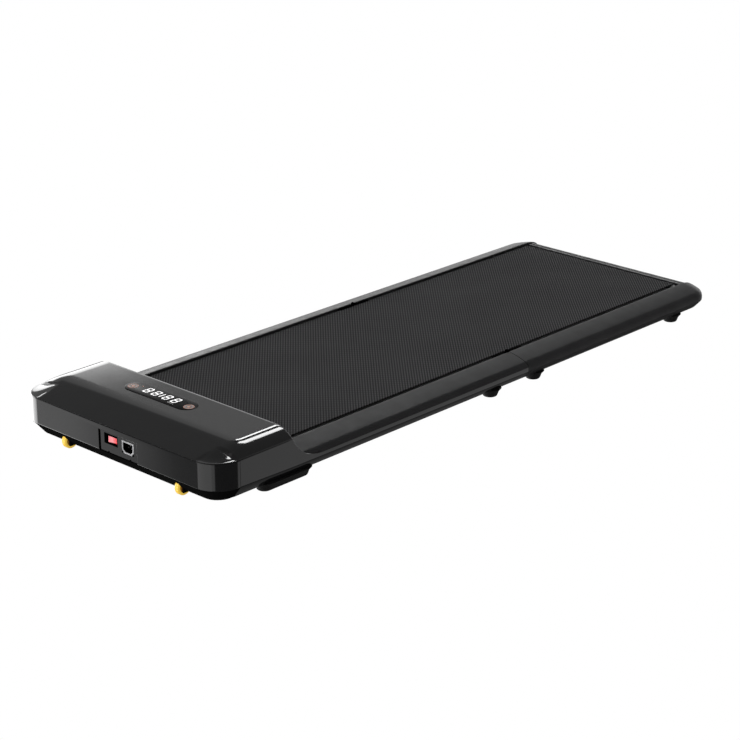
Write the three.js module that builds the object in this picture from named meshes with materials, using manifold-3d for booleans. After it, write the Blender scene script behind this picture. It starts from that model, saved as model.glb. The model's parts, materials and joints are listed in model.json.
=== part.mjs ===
// Folding under-desk walking pad.
// Millimetres, +Z up. The head (display and motor) is at -Y, the tail at +Y, and X runs across.
// The fold-up seam and the rest are drawn from a datum near mid length; the finished group is
// then moved so that the origin is on the floor below the middle of its bounding box.
import * as THREE from 'three';
import { mergeVertices } from 'three/addons/utils/BufferGeometryUtils.js';
import Module from 'manifold-3d';

const wasm = await Module();
wasm.setup();

// ---- driving dimensions ---------------------------------------------------------------------
const HALF_WIDTH = 259.5;
const HEAD_Y = -720;
const TAIL_Y = 706;
const SEAM_Y = 98;            // the fold splits the machine here
const SEAM_HALF_GAP = 0.5;
const GAP = 0.3;              // clearance between pieces that rest on each other

const BASE_Z = 17;            // underside of the covers
const SKIN = 2.4;             // wall of the moulded covers
const WALL_FOOT_Z = 35;       // foot of the upright side walls, where the chamfer starts
const CHAMFER_X = 241;        // where the side chamfer meets the flat underside
const FLANGE_X = 228;         // inner edge of the side covers' flange
const SHOULDER_Z = 45.2;      // split line between rail cover and side panel
const HEAD_WALL_TOP = 90.0;   // top of the head's walls
const CROWN_EDGE_Z = 91.6;    // top of the crown's edge, just above the walls
const CROWN_EDGE_T = 1;
const CORNER_R = 50;          // plan radius of the head's front corners
const SIDE_SPLIT_Y = -665;    // the bumper's arms meet the side panels here
const CROWN_REAR_Y = -541;
const CROWN_TOP_Z = 109.5;
const CROWN_DOME = 1;         // how far the flat top falls from the middle to the sides
const CROWN_SHOULDER = 45;    // width of the round shoulder at each side
const SHOULDER_POWER = 2.5;   // how squarely the shoulder turns down
const FRONT_SLOPE = 58;       // depth of the straight slope behind the front wall
const FRONT_FILLET = 32;      // depth of the fillet between that slope and the flat top

const BELT_HALF = 200;
const BELT_TOP = 61.5;
const BELT_T = 1.8;
const ROLLER_R = 18;
const ROLLER_Z = BELT_TOP - BELT_T - GAP - ROLLER_R;
const FRONT_ROLLER_Y = -575;
const REAR_ROLLER_Y = 657;
const AXLE_R = 6;
const DECK_TOP = BELT_TOP - BELT_T - GAP;
const DECK_T = 12;
const DECK_HALF = 222;
const DECK_FRONT_Y = -545;
const DECK_REAR_Y = 633;

const RAIL_INNER_X = 209.5;
const RAIL_TOP_Z = 64.4;
const RAIL_CREST = [
  [RAIL_INNER_X, RAIL_TOP_Z], [217, 63.4], [229, 60.8], [238.3, 58.2], [247.8, 55.2],
  [254, 52], [257.6, 48.8], [259, SHOULDER_Z],
];
const TUBE_X0 = 219;
const TUBE_X1 = 239;
const TUBE_Z0 = 22;
const TUBE_Z1 = 47;
const TUBE_WALL = 1.8;
const TUBE_FRONT_Y = -668;
const TUBE_REAR_Y = 680;

const TAIL_CORNER_R = 45;
const TAIL_NOSE_R = 15;
const TAIL_BAR_HALF = 205;
const TAIL_BAR_Y0 = 668;      // its top plate laps over the belt's turn
const TAIL_BAR_Y1 = 694;
const TAIL_BAR_TOP = 62;
const UNDERSIDE_REAR_Y = 664; // rear end of the bottom cover and of the opening it fills

const HINGE_Z = 65;
const HINGE_X = 205.2;        // middle of each hinge, in the channel between belt and rail
const KNUCKLE_R = 2.8;
const HINGE_PIN_R = 1.2;

const FOOT_X = 226;
// The front feet are long pads; the others are round. Each has the y of its two end centres.
const FOOT_SPANS = {
  front: [-578, -492], mid_front: [23, 23], mid_rear: [153, 153], tail: [610, 610],
};
const FOOT_TOP_R = 22;
const FOOT_SOLE_R = 13;

const WHEEL_X = 150;
const WHEEL_Y = -697;
const WHEEL_R = 13.5;
const WHEEL_WIDTH = 9;
const WHEEL_Z = WHEEL_R + 7;  // the wheels touch the floor once the tail is lifted
const WHEEL_AXLE_R = 3;

const MOTOR_Y = -645;
const MOTOR_Z = 52;
const MOTOR_R = 31;
const MOTOR_X0 = -185;
const MOTOR_X1 = -62;
const MOTOR_WALL = 4;
const MOTOR_SHAFT_R = 4;
const ARMATURE_R = 24;
const MOTOR_PULLEY_R = 8;
const ROLLER_PULLEY_R = 18;
const PULLEY_X0 = -213.2;
const PULLEY_X1 = -203.2;
const DRIVE_BELT_T = 3;

const PANEL = { x0: -41, x1: 60, z0: 42, z1: 79.5, recess: 0.8, slot: 5 };
const SWITCH = { x0: -26, x1: 9, z0: 57.5, z1: 77, depth: 18 };
// The rocker tips by tilt to either side about an upright pin, pivot behind the panel's face.
const ROCKER = { x: -5, width: 22, height: 11.5, depth: 8, tilt: 7, pivot: 5.2, inset: 0.7 };
const INLET = { x0: 20.5, x1: 51.5, z0: 52, z1: 75.5, depth: 20 };
const DISPLAY = { x: -18.5, y: -592, length: 175, width: 43 };

// ---- geometry helpers -----------------------------------------------------------------------
const rad = THREE.MathUtils.degToRad;

/** Turns closed three.js geometry into a manifold solid with its faces pointing out. */
function solid(geometry) {
  const bare = geometry.clone();
  for (const name of Object.keys(bare.attributes)) {
    if (name !== 'position') bare.deleteAttribute(name);
  }
  const welded = mergeVertices(bare.index ? bare.toNonIndexed() : bare, 1e-4);
  const triangles = [];
  const index = welded.index.array;
  for (let i = 0; i < index.length; i += 3) {
    const [a, b, c] = [index[i], index[i + 1], index[i + 2]];
    if (a !== b && b !== c && c !== a) triangles.push(a, b, c);
  }
  const build = (triVerts) => new wasm.Manifold(new wasm.Mesh({
    numProp: 3,
    vertProperties: new Float32Array(welded.attributes.position.array),
    triVerts: new Uint32Array(triVerts),
  }));
  const body = build(triangles);
  return body.volume() < 0 ? build(triangles.reverse()) : body;
}

/** Turns a manifold solid back into three.js geometry. */
function geometryOf(body) {
  const mesh = body.getMesh();
  const geometry = new THREE.BufferGeometry();
  geometry.setAttribute('position', new THREE.BufferAttribute(mesh.vertProperties, 3));
  geometry.setIndex(new THREE.BufferAttribute(mesh.triVerts, 1));
  geometry.computeVertexNormals();
  return geometry;
}

const vectors = (points) => points.map(([a, b]) => new THREE.Vector2(a, b));

function extrude(outline, depth, holes = []) {
  const shape = new THREE.Shape(vectors(outline));
  shape.holes = holes.map((hole) => new THREE.Path(vectors(hole)));
  return new THREE.ExtrudeGeometry(shape, { depth, bevelEnabled: false, curveSegments: 12 });
}

/** Prism of an (x, y) outline from z0 to z1. */
function prismZ(outline, z0, z1, holes = []) {
  return solid(extrude(outline, z1 - z0, holes).translate(0, 0, z0));
}

/** Prism of an (x, z) outline from y0 to y1. */
function prismY(outline, y0, y1, holes = []) {
  return solid(extrude(outline, y1 - y0, holes).rotateX(Math.PI / 2).translate(0, y1, 0));
}

/** Prism of a (y, z) outline from x0 to x1. */
function prismX(outline, x0, x1, holes = []) {
  const turned = extrude(outline, x1 - x0, holes).applyMatrix4(
    new THREE.Matrix4().makeBasis(
      new THREE.Vector3(0, 1, 0), new THREE.Vector3(0, 0, 1), new THREE.Vector3(1, 0, 0)));
  return solid(turned.translate(x0, 0, 0));
}

function box(x0, x1, y0, y1, z0, z1) {
  const geometry = new THREE.BoxGeometry(x1 - x0, y1 - y0, z1 - z0);
  return solid(geometry.translate((x0 + x1) / 2, (y0 + y1) / 2, (z0 + z1) / 2));
}

/** Solid of revolution about the X axis through (y, z); profile holds [x, radius] pairs. */
function turnedX(profile, y, z, segments = 40) {
  const points = profile.map(([x, r]) => new THREE.Vector2(r, x));
  const geometry = new THREE.LatheGeometry(points, segments).rotateZ(-Math.PI / 2);
  return solid(geometry.translate(0, y, z));
}

/** Solid of revolution about the vertical through (x, y); profile holds [radius, z] pairs. */
function turnedZ(profile, x, y, segments = 40) {
  const geometry = new THREE.LatheGeometry(vectors(profile), segments).rotateX(Math.PI / 2);
  return solid(geometry.translate(x, y, 0));
}

function rodX(radius, x0, x1, y, z, segments = 40) {
  return turnedX([[x0, 0], [x0, radius], [x1, radius], [x1, 0]], y, z, segments);
}

/** Ring about the X axis: a tube of outer and inner radius. */
function sleeveX(outer, inner, x0, x1, y, z, segments = 40) {
  const profile = [[x0, inner], [x0, outer], [x1, outer], [x1, inner], [x0, inner]];
  return turnedX(profile, y, z, segments);
}

function arc(cx, cy, radius, from, to, steps) {
  const points = [];
  for (let i = 0; i <= steps; i += 1) {
    const angle = rad(from + ((to - from) * i) / steps);
    points.push([cx + radius * Math.cos(angle), cy + radius * Math.sin(angle)]);
  }
  return points;
}

function pill(cx, cy, length, width, steps = 12) {
  const half = (length - width) / 2;
  return [
    ...arc(cx + half, cy, width / 2, -90, 90, steps),
    ...arc(cx - half, cy, width / 2, 90, 270, steps),
  ];
}

function rectangle(x0, x1, y0, y1) {
  return [[x0, y0], [x1, y0], [x1, y1], [x0, y1]];
}

function roundedRectangle(x0, x1, y0, y1, r, steps = 5) {
  return [
    ...arc(x1 - r, y0 + r, r, -90, 0, steps),
    ...arc(x1 - r, y1 - r, r, 0, 90, steps),
    ...arc(x0 + r, y1 - r, r, 90, 180, steps),
    ...arc(x0 + r, y0 + r, r, 180, 270, steps),
  ];
}

/** Loop around two circles in the (y, z) plane, as a drive belt runs. */
function beltLoop(a, radiusA, b, radiusB, steps = 16) {
  const dy = b[0] - a[0];
  const dz = b[1] - a[1];
  const heading = THREE.MathUtils.radToDeg(Math.atan2(dz, dy));
  const spread = THREE.MathUtils.radToDeg(Math.acos((radiusA - radiusB) / Math.hypot(dy, dz)));
  return [
    ...arc(a[0], a[1], radiusA, heading + spread, heading + 360 - spread, steps),
    ...arc(b[0], b[1], radiusB, heading - spread, heading + spread, steps),
  ];
}

/** Joins matching rings of points into one closed solid, with flat fans at both ends. */
function loft(rings) {
  const count = rings[0].length;
  const position = rings.flat(2);
  const index = [];
  for (let r = 0; r < rings.length - 1; r += 1) {
    for (let i = 0; i < count; i += 1) {
      const a = r * count + i;
      const b = r * count + ((i + 1) % count);
      index.push(a, b, b + count, a, b + count, a + count);
    }
  }
  const fan = (ring, flip) => {
    for (let i = 1; i < count - 1; i += 1) {
      const triangle = [ring * count, ring * count + i, ring * count + i + 1];
      index.push(...(flip ? triangle.reverse() : triangle));
    }
  };
  fan(0, true);
  fan(rings.length - 1, false);
  const geometry = new THREE.BufferGeometry();
  geometry.setAttribute('position', new THREE.Float32BufferAttribute(position, 3));
  geometry.setIndex(index);
  return solid(geometry);
}

// ---- materials and assembly -----------------------------------------------------------------
const finish = (color, roughness, metalness = 0) => ({ color, roughness, metalness });
const FINISH = {
  glossBlack: finish(0x141416, 0.22),
  satinBlack: finish(0x1b1b1d, 0.42),
  underBlack: finish(0x111112, 0.65),
  displayGlass: finish(0x050506, 0.08),
  beltRubber: finish(0x2b2b2c, 0.8),
  board: finish(0x6d4c34, 0.7),
  steelBlack: finish(0x222224, 0.45, 0.6),
  steel: finish(0xb9babd, 0.3, 1),
  aluminium: finish(0xa9abae, 0.4, 1),
  rubber: finish(0x0e0e0f, 0.85),
  yellow: finish(0xf2b705, 0.45),
  red: finish(0xd8151b, 0.3),
  greyTrim: finish(0x8d8f92, 0.4),
  circuit: finish(0x14532d, 0.6),
};

const treadmill = new THREE.Group();

function add(name, body, look) {
  const mesh = new THREE.Mesh(geometryOf(body), new THREE.MeshStandardMaterial(look));
  mesh.name = name;
  treadmill.add(mesh);
}

/** Adds a right-hand piece and its mirror image on the left. */
function addPair(name, body, look) {
  add(`${name}_right`, body, look);
  add(`${name}_left`, body.mirror([1, 0, 0]), look);
}

// ---- head -----------------------------------------------------------------------------------
/** Half width of the head's plan outline at y, inset from its outer face. */
function headHalfWidth(y, inset) {
  const depth = y - (HEAD_Y + inset);
  const radius = CORNER_R - inset;
  const side = HALF_WIDTH - inset;
  if (depth >= radius) return side;
  return side - radius + Math.sqrt(Math.max(0, radius ** 2 - (radius - depth) ** 2));
}

/** Plan outline of the head from the rear right, round the front, to the rear left. */
function headOutline(inset, rearY, steps = 10) {
  const radius = CORNER_R - inset;
  const x = HALF_WIDTH - CORNER_R;
  const y = HEAD_Y + CORNER_R;
  return [
    [HALF_WIDTH - inset, rearY],
    ...arc(x, y, radius, 0, -90, steps),
    ...arc(-x, y, radius, -90, -180, steps),
    [-HALF_WIDTH + inset, rearY],
  ];
}

/** Share of the crown's rise reached at a distance in from its side. */
function shoulderRise(side) {
  return 1 - Math.max(0, 1 - side / CROWN_SHOULDER) ** SHOULDER_POWER;
}

/** Share of the crown's rise reached at a distance behind its front: a slope, then a fillet. */
function frontRise(front) {
  const full = FRONT_SLOPE + FRONT_FILLET / 2;
  if (front <= FRONT_SLOPE) return front / full;
  const t = Math.min(1, (front - FRONT_SLOPE) / FRONT_FILLET);
  return (FRONT_SLOPE + FRONT_FILLET * (t - t ** 3 + t ** 4 / 2)) / full;
}

/** Distance from a plan point in to the head's side, its front and its rounded corner. */
function edgeDistances(x, y) {
  const cornerX = Math.abs(x) - (HALF_WIDTH - CORNER_R);
  const cornerY = HEAD_Y + CORNER_R - y;
  const inCorner = cornerX > 0 && cornerY > 0;
  const corner = inCorner ? CORNER_R - Math.hypot(cornerX, cornerY) : Infinity;
  return {
    side: Math.max(0, Math.min(HALF_WIDTH - Math.abs(x), corner)),
    front: Math.max(0, Math.min(y - HEAD_Y, corner)),
  };
}

/** Height of the crown: nearly flat on top, with round shoulders and a sloping front. */
function crownZ(x, y) {
  const { side, front } = edgeDistances(x, y);
  const rise = CROWN_TOP_Z - CROWN_EDGE_Z - CROWN_DOME * (x / HALF_WIDTH) ** 2;
  return CROWN_EDGE_Z + rise * shoulderRise(side) * frontRise(front);
}

/** The crown's wall, which thins towards its edge. */
function crownWall(x, y) {
  const { side, front } = edgeDistances(x, y);
  return THREE.MathUtils.lerp(CROWN_EDGE_T, SKIN, Math.min(1, Math.min(side, front) / 9));
}

const CROWN_COLUMNS = [-1, -0.985, -0.965, -0.94, -0.91, -0.87, -0.82, -0.55, 0];

/** The crown's skin as a closed plate between two dome surfaces. */
function crownShell() {
  const columns = [...CROWN_COLUMNS, ...CROWN_COLUMNS.slice(0, -1).reverse().map((c) => -c)];
  const corner = [0, 15, 30, 45, 60, 75, 90].map((a) => CORNER_R * (1 - Math.cos(rad(a))));
  const straight = [58, 66, 74, 82, 90, 130, CROWN_REAR_Y - HEAD_Y];
  const rows = [...corner, ...straight].map((depth) => HEAD_Y + depth);
  const grid = (inside) => rows.map((y) => columns.map((c) => {
    const x = c * (headHalfWidth(y, 0) - 0.1);
    return [x, y, crownZ(x, y) - (inside ? crownWall(x, y) : 0)];
  }));
  const position = [...grid(false).flat(2), ...grid(true).flat(2)];
  const wide = columns.length;
  const layer = rows.length * wide;
  const index = [];
  const quad = (a, b, c, d) => index.push(a, b, c, a, c, d);
  for (let r = 0; r < rows.length - 1; r += 1) {
    for (let c = 0; c < wide - 1; c += 1) {
      const a = r * wide + c;
      quad(a, a + 1, a + 1 + wide, a + wide);
      quad(layer + a, layer + a + wide, layer + a + 1 + wide, layer + a + 1);
    }
    const left = r * wide;
    const right = left + wide - 1;
    quad(left, left + wide, left + wide + layer, left + layer);
    quad(right, right + layer, right + wide + layer, right + wide);
  }
  for (let c = 0; c < wide - 1; c += 1) {
    const rear = (rows.length - 1) * wide + c;
    quad(c, c + layer, c + 1 + layer, c + 1);
    quad(rear, rear + 1, rear + 1 + layer, rear + layer);
  }
  const geometry = new THREE.BufferGeometry();
  geometry.setAttribute('position', new THREE.Float32BufferAttribute(position, 3));
  geometry.setIndex(index);
  return solid(geometry);
}

/** The crown's drop to the belt: a wall that follows the belt and the rail covers below it. */
function crownRearWall() {
  const inner = HALF_WIDTH - SKIN - 0.8;
  const rightFoot = RAIL_CREST.filter(([x]) => x < inner).map(([x, z]) => [x, z + 0.5]);
  const foot = [[RAIL_INNER_X - 4, BELT_TOP + 2], ...rightFoot, [inner, 50.6]];
  const crest = [inner, 251, 244, 236, 226, 212, 140, 0].map((x) => (
    [x, crownZ(x, CROWN_REAR_Y) - 1]));
  const right = [...foot, ...crest];
  const left = right.slice(0, -1).reverse().map(([x, z]) => [-x, z]);
  return prismY([...right, ...left], CROWN_REAR_Y - SKIN, CROWN_REAR_Y);
}

/** A pill-shaped plate lying on the crown at the display. */
function displayPill(grow, z0, z1) {
  const outline = pill(0, 0, DISPLAY.length + 2 * grow, DISPLAY.width + 2 * grow);
  const surface = crownZ(DISPLAY.x, DISPLAY.y);
  return solid(extrude(outline, z1 - z0).translate(DISPLAY.x, DISPLAY.y, surface + z0));
}

function addCrown() {
  const crown = crownShell().add(crownRearWall()).subtract(displayPill(GAP, -6, 6));
  add('head_crown_cover', crown, FINISH.glossBlack);
  add('display_window', displayPill(0, -2.6, -0.3), FINISH.displayGlass);
  const { x, y } = DISPLAY;
  const boardTop = crownZ(x, y) - 3.4;
  add('display_board', box(x - 80, x + 80, y - 16, y + 16, boardTop - 1.6, boardTop),
    FINISH.circuit);
}

function addBumper() {
  const outer = headOutline(0, SIDE_SPLIT_Y - GAP);
  const inner = headOutline(SKIN + 0.6, SIDE_SPLIT_Y - GAP).reverse();
  const band = prismZ([...outer, ...inner], 40.3, HEAD_WALL_TOP);
  const { x0, x1, z0, z1 } = PANEL;
  const opening = box(x0, x1, HEAD_Y - 5, HEAD_Y + 10, z0, z1);
  add('head_bumper', band.subtract(opening), FINISH.glossBlack);
}

/** Solid with the pan's outer form, shrunk by an inset. */
function panForm(inset, z0, z1, rearY) {
  const chamfer = HALF_WIDTH - CHAMFER_X;
  const ring = (offset, z) => headOutline(offset, rearY, 8).map(([x, y]) => [x, y, z]);
  return loft([ring(inset + chamfer + 1, z0), ring(inset, z1)]);
}

function addBottomPan() {
  const rearY = -600.3;
  const outer = panForm(0.3, BASE_Z, 40, SIDE_SPLIT_Y - GAP);
  const inner = panForm(0.3 + SKIN, BASE_Z + SKIN, 41, SIDE_SPLIT_Y + 1);
  const plate = box(-FLANGE_X + GAP, FLANGE_X - GAP, SIDE_SPLIT_Y - 2, rearY, BASE_Z,
    BASE_Z + SKIN);
  let pan = outer.subtract(inner).add(plate);
  for (const side of [-1, 1]) {
    const x = side * WHEEL_X;
    const half = WHEEL_WIDTH / 2 + 1;
    const reach = WHEEL_R + 2.5;
    const well = box(x - half, x + half, WHEEL_Y - reach, WHEEL_Y + reach, 0, 42);
    const lugs = [-half - 2, half + 2].map((dx) => box(x + dx - 2, x + dx + 2, WHEEL_Y - 7,
      WHEEL_Y + 7, BASE_Z - 5, BASE_Z + 10));
    const axleHole = rodX(WHEEL_AXLE_R + 0.2, x - 18, x + 18, WHEEL_Y, WHEEL_Z, 24);
    pan = pan.subtract(well).add(lugs[0]).add(lugs[1]).subtract(axleHole);
  }
  add('head_bottom_pan', pan, FINISH.underBlack);
}

/** A nearly flush panel for the switch and inlet, with an open slot down its left side. */
function addSocketPanel() {
  const { x0, x1, z0, z1, recess, slot } = PANEL;
  const face = HEAD_Y + recess;
  const mouth = ({ x0: left, x1: right, z0: low, z1: high }) => prismY(
    roundedRectangle(left - GAP, right + GAP, low - GAP, high + GAP, 1.5), face - 1, face + 5);
  const plate = prismY(roundedRectangle(x0 + slot, x1 - GAP, z0 + GAP, z1 - GAP, 1.5), face,
    face + SKIN);
  add('socket_panel', plate.subtract(mouth(SWITCH)).subtract(mouth(INLET)), FINISH.satinBlack);
}

function addPowerSwitch() {
  const { x0, x1, z0, z1, depth } = SWITCH;
  const face = HEAD_Y + PANEL.recess;
  const midZ = (z0 + z1) / 2;
  const half = ROCKER.width / 2;
  const mouth = rectangle(ROCKER.x - half - 1, ROCKER.x + half + 1,
    midZ - ROCKER.height / 2 - 0.5, midZ + ROCKER.height / 2 + 0.5);
  const body = prismY(roundedRectangle(x0, x1, z0, z1, 1.2), face - 0.3, face + depth);
  add('switch_bezel', body.subtract(prismY(mouth, face - 3, face + depth - 4)),
    FINISH.satinBlack);
  const front = ROCKER.inset - ROCKER.pivot;
  const back = ROCKER.depth - ROCKER.pivot;
  const outline = [
    [-half, front], [0, front + 1.1], [half, front], [half - 2.5, back], [-half + 2.5, back],
  ];
  const key = extrude(outline, ROCKER.height).translate(0, 0, -ROCKER.height / 2);
  key.rotateZ(rad(ROCKER.tilt)).translate(ROCKER.x, face + ROCKER.pivot, midZ);
  add('power_rocker', solid(key), FINISH.red);
}

function addPowerInlet() {
  const { x0, x1, z0, z1, depth } = INLET;
  const face = HEAD_Y + PANEL.recess;
  const shell = prismY(roundedRectangle(x0, x1, z0, z1, 3), face - 0.5, face + depth + 3);
  const cavity = prismY(roundedRectangle(x0 + 2.6, x1 - 2.6, z0 + 2.6, z1 - 2.6, 2), face - 3,
    face + depth);
  let inlet = shell.subtract(cavity);
  const midX = (x0 + x1) / 2;
  const midZ = (z0 + z1) / 2;
  for (const [dx, dz] of [[-7, -2], [7, -2], [0, 2.5]]) {
    inlet = inlet.add(box(midX + dx - 1, midX + dx + 1, face + 6.5, face + depth + 1,
      midZ + dz - 2, midZ + dz + 2));
  }
  add('power_inlet', inlet, FINISH.greyTrim);
}

// ---- drive ----------------------------------------------------------------------------------
function addMotor() {
  const bell = [
    [MOTOR_X0, 0], [MOTOR_X0, MOTOR_R - 5], [MOTOR_X0 + 5, MOTOR_R], [MOTOR_X1 - 8, MOTOR_R],
    [MOTOR_X1, MOTOR_R - 8], [MOTOR_X1, 0],
  ];
  const bore = rodX(MOTOR_SHAFT_R + 0.4, MOTOR_X0 - 1, MOTOR_X0 + 10, MOTOR_Y, MOTOR_Z, 24);
  const hollow = rodX(MOTOR_R - MOTOR_WALL, MOTOR_X0 + MOTOR_WALL, MOTOR_X1 - 11, MOTOR_Y,
    MOTOR_Z);
  add('drive_motor', turnedX(bell, MOTOR_Y, MOTOR_Z).subtract(bore).subtract(hollow),
    FINISH.steelBlack);
  const block = box(MOTOR_X0 + 12, MOTOR_X1 - 14, MOTOR_Y - 24, MOTOR_Y + 24,
    BASE_Z + SKIN + GAP, MOTOR_Z - 12);
  const seat = rodX(MOTOR_R + 0.4, MOTOR_X0, MOTOR_X1, MOTOR_Y, MOTOR_Z);
  const waist = box(MOTOR_X0 + 20, MOTOR_X1 - 22, MOTOR_Y - 26, MOTOR_Y + 26,
    BASE_Z + SKIN + 6, MOTOR_Z);
  const cradle = block.subtract(seat).subtract(waist);
  add('motor_cradle', cradle, FINISH.steelBlack);
  const shaft = [
    [PULLEY_X0, 0], [PULLEY_X0, MOTOR_SHAFT_R], [MOTOR_X0 + 12, MOTOR_SHAFT_R],
    [MOTOR_X0 + 12, ARMATURE_R], [MOTOR_X1 - 30, ARMATURE_R], [MOTOR_X1 - 30, 12],
    [MOTOR_X1 - 16, 12], [MOTOR_X1 - 16, MOTOR_SHAFT_R], [MOTOR_X1 - 12, MOTOR_SHAFT_R],
    [MOTOR_X1 - 12, 0],
  ];
  add('motor_shaft', turnedX(shaft, MOTOR_Y, MOTOR_Z, 32), FINISH.steel);
  const pulley = sleeveX(MOTOR_PULLEY_R, MOTOR_SHAFT_R + 0.05, PULLEY_X0 + 0.3, PULLEY_X1,
    MOTOR_Y, MOTOR_Z, 32);
  add('motor_pulley', pulley, FINISH.aluminium);
}

function addDriveBelt() {
  const motor = [MOTOR_Y, MOTOR_Z];
  const roller = [FRONT_ROLLER_Y, ROLLER_Z];
  const loop = (grow) => beltLoop(motor, MOTOR_PULLEY_R + grow, roller, ROLLER_PULLEY_R + grow);
  const belt = prismX(loop(GAP + DRIVE_BELT_T), PULLEY_X0 + 1, PULLEY_X1 - 1)
    .subtract(prismX(loop(GAP), PULLEY_X0, PULLEY_X1));
  add('drive_belt', belt, FINISH.rubber);
}

function addController() {
  const floor = BASE_Z + SKIN;
  add('controller_board', box(-38, 128, -676, -608, floor + 4, floor + 6), FINISH.circuit);
  let sink = box(10, 110, -668, -616, floor + 6.4, floor + 10);
  for (let y = -666; y <= -620; y += 9) {
    sink = sink.add(box(10, 110, y, y + 3, floor + 9, floor + 34));
  }
  add('controller_heat_sink', sink, FINISH.aluminium);
}

/** A belt roller: a tube with closed ends, bored to run on a fixed axle. */
function rollerBody(y) {
  const half = BELT_HALF + 2;
  const bore = AXLE_R + 0.3;
  const wall = ROLLER_R - 2.5;
  const profile = [
    [-half, bore], [-half, ROLLER_R], [half, ROLLER_R], [half, bore], [half - 8, bore],
    [half - 8, wall], [-half + 8, wall], [-half + 8, bore], [-half, bore],
  ];
  return turnedX(profile, y, ROLLER_Z, 36);
}

function addRollers() {
  add('front_roller', rollerBody(FRONT_ROLLER_Y), FINISH.steel);
  add('rear_roller', rollerBody(REAR_ROLLER_Y), FINISH.steel);
  const reach = TUBE_X0 - 0.8;
  add('front_roller_axle', rodX(AXLE_R, -reach, reach, FRONT_ROLLER_Y, ROLLER_Z, 32),
    FINISH.steel);
  add('rear_roller_axle', rodX(AXLE_R, -reach, reach, REAR_ROLLER_Y, ROLLER_Z, 32),
    FINISH.steel);
  const pulley = sleeveX(ROLLER_PULLEY_R, AXLE_R + 0.3, PULLEY_X0, PULLEY_X1, FRONT_ROLLER_Y,
    ROLLER_Z, 36);
  add('roller_pulley', pulley, FINISH.aluminium);
  const block = box(206, TUBE_X0 - GAP, REAR_ROLLER_Y - 18, REAR_ROLLER_Y + 18,
    ROLLER_Z - 12, ROLLER_Z + 12);
  const seat = rodX(AXLE_R + 0.2, 200, TUBE_X0 + 5, REAR_ROLLER_Y, ROLLER_Z, 32);
  addPair('rear_roller_block', block.subtract(seat), FINISH.steelBlack);
}

// ---- running surface ------------------------------------------------------------------------
/** One half of the belt loop: two flat runs joined round a roller. */
function beltHalf(rollerY, seamY) {
  const outer = ROLLER_R + GAP + BELT_T;
  const inner = ROLLER_R + GAP;
  const toTail = rollerY > seamY;
  const turn = (radius) => (toTail
    ? arc(rollerY, ROLLER_Z, radius, 90, -90, 20)
    : arc(rollerY, ROLLER_Z, radius, 90, 270, 20));
  const outline = [
    [seamY, ROLLER_Z + outer], ...turn(outer), [seamY, ROLLER_Z - outer],
    [seamY, ROLLER_Z - inner], ...turn(inner).reverse(), [seamY, ROLLER_Z + inner],
  ];
  return prismX(outline, -BELT_HALF, BELT_HALF);
}

function addRunningSurface() {
  const frontEnd = SEAM_Y - SEAM_HALF_GAP;
  const rearEnd = SEAM_Y + SEAM_HALF_GAP;
  add('walking_belt_front', beltHalf(FRONT_ROLLER_Y, frontEnd), FINISH.beltRubber);
  add('walking_belt_rear', beltHalf(REAR_ROLLER_Y, rearEnd), FINISH.beltRubber);
  const top = DECK_TOP - GAP;
  add('deck_front', box(-DECK_HALF, DECK_HALF, DECK_FRONT_Y, frontEnd, top - DECK_T, top),
    FINISH.board);
  add('deck_rear', box(-DECK_HALF, DECK_HALF, rearEnd, DECK_REAR_Y, top - DECK_T, top),
    FINISH.board);
}

// ---- frame ----------------------------------------------------------------------------------
function frameTube(y0, y1) {
  const outer = rectangle(TUBE_X0, TUBE_X1, TUBE_Z0, TUBE_Z1);
  const inner = rectangle(TUBE_X0 + TUBE_WALL, TUBE_X1 - TUBE_WALL, TUBE_Z0 + TUBE_WALL,
    TUBE_Z1 - TUBE_WALL);
  return prismY(outer, y0, y1, [inner]);
}

function crossMember(y0, y1) {
  const z1 = DECK_TOP - GAP - DECK_T - GAP;
  const z0 = ROLLER_Z - ROLLER_R - GAP + 2;
  const channel = [
    [y0, z0], [y0 + 2, z0], [y0 + 2, z1 - 2], [y1 - 2, z1 - 2], [y1 - 2, z0], [y1, z0],
    [y1, z1], [y0, z1],
  ];
  return prismX(channel, -TUBE_X0 + GAP, TUBE_X0 - GAP);
}

function addFrame() {
  const front = frameTube(TUBE_FRONT_Y, SEAM_Y - SEAM_HALF_GAP)
    .subtract(rodX(AXLE_R + 0.2, TUBE_X0 - 5, TUBE_X0 + TUBE_WALL + 0.5, FRONT_ROLLER_Y,
      ROLLER_Z, 32));
  addPair('frame_rail_front', front, FINISH.steelBlack);
  addPair('frame_rail_rear', frameTube(SEAM_Y + SEAM_HALF_GAP, TUBE_REAR_Y), FINISH.steelBlack);
  add('cross_member_head', crossMember(-540, -512), FINISH.steelBlack);
  add('cross_member_front', crossMember(SEAM_Y - 44, SEAM_Y - 16), FINISH.steelBlack);
  add('cross_member_rear', crossMember(SEAM_Y + 16, SEAM_Y + 44), FINISH.steelBlack);
  add('cross_member_tail', crossMember(600, 628), FINISH.steelBlack);
}

/** Curve along which the head's side walls sweep down to the rails, as (y, z) points. */
function sweepCurve() {
  const curve = new THREE.CubicBezierCurve(
    new THREE.Vector2(-541, HEAD_WALL_TOP + 0.8), new THREE.Vector2(-530, 66),
    new THREE.Vector2(-508, 46), new THREE.Vector2(-470, SHOULDER_Z));
  return curve.getPoints(14).map((p) => [p.x, p.y]);
}

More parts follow.
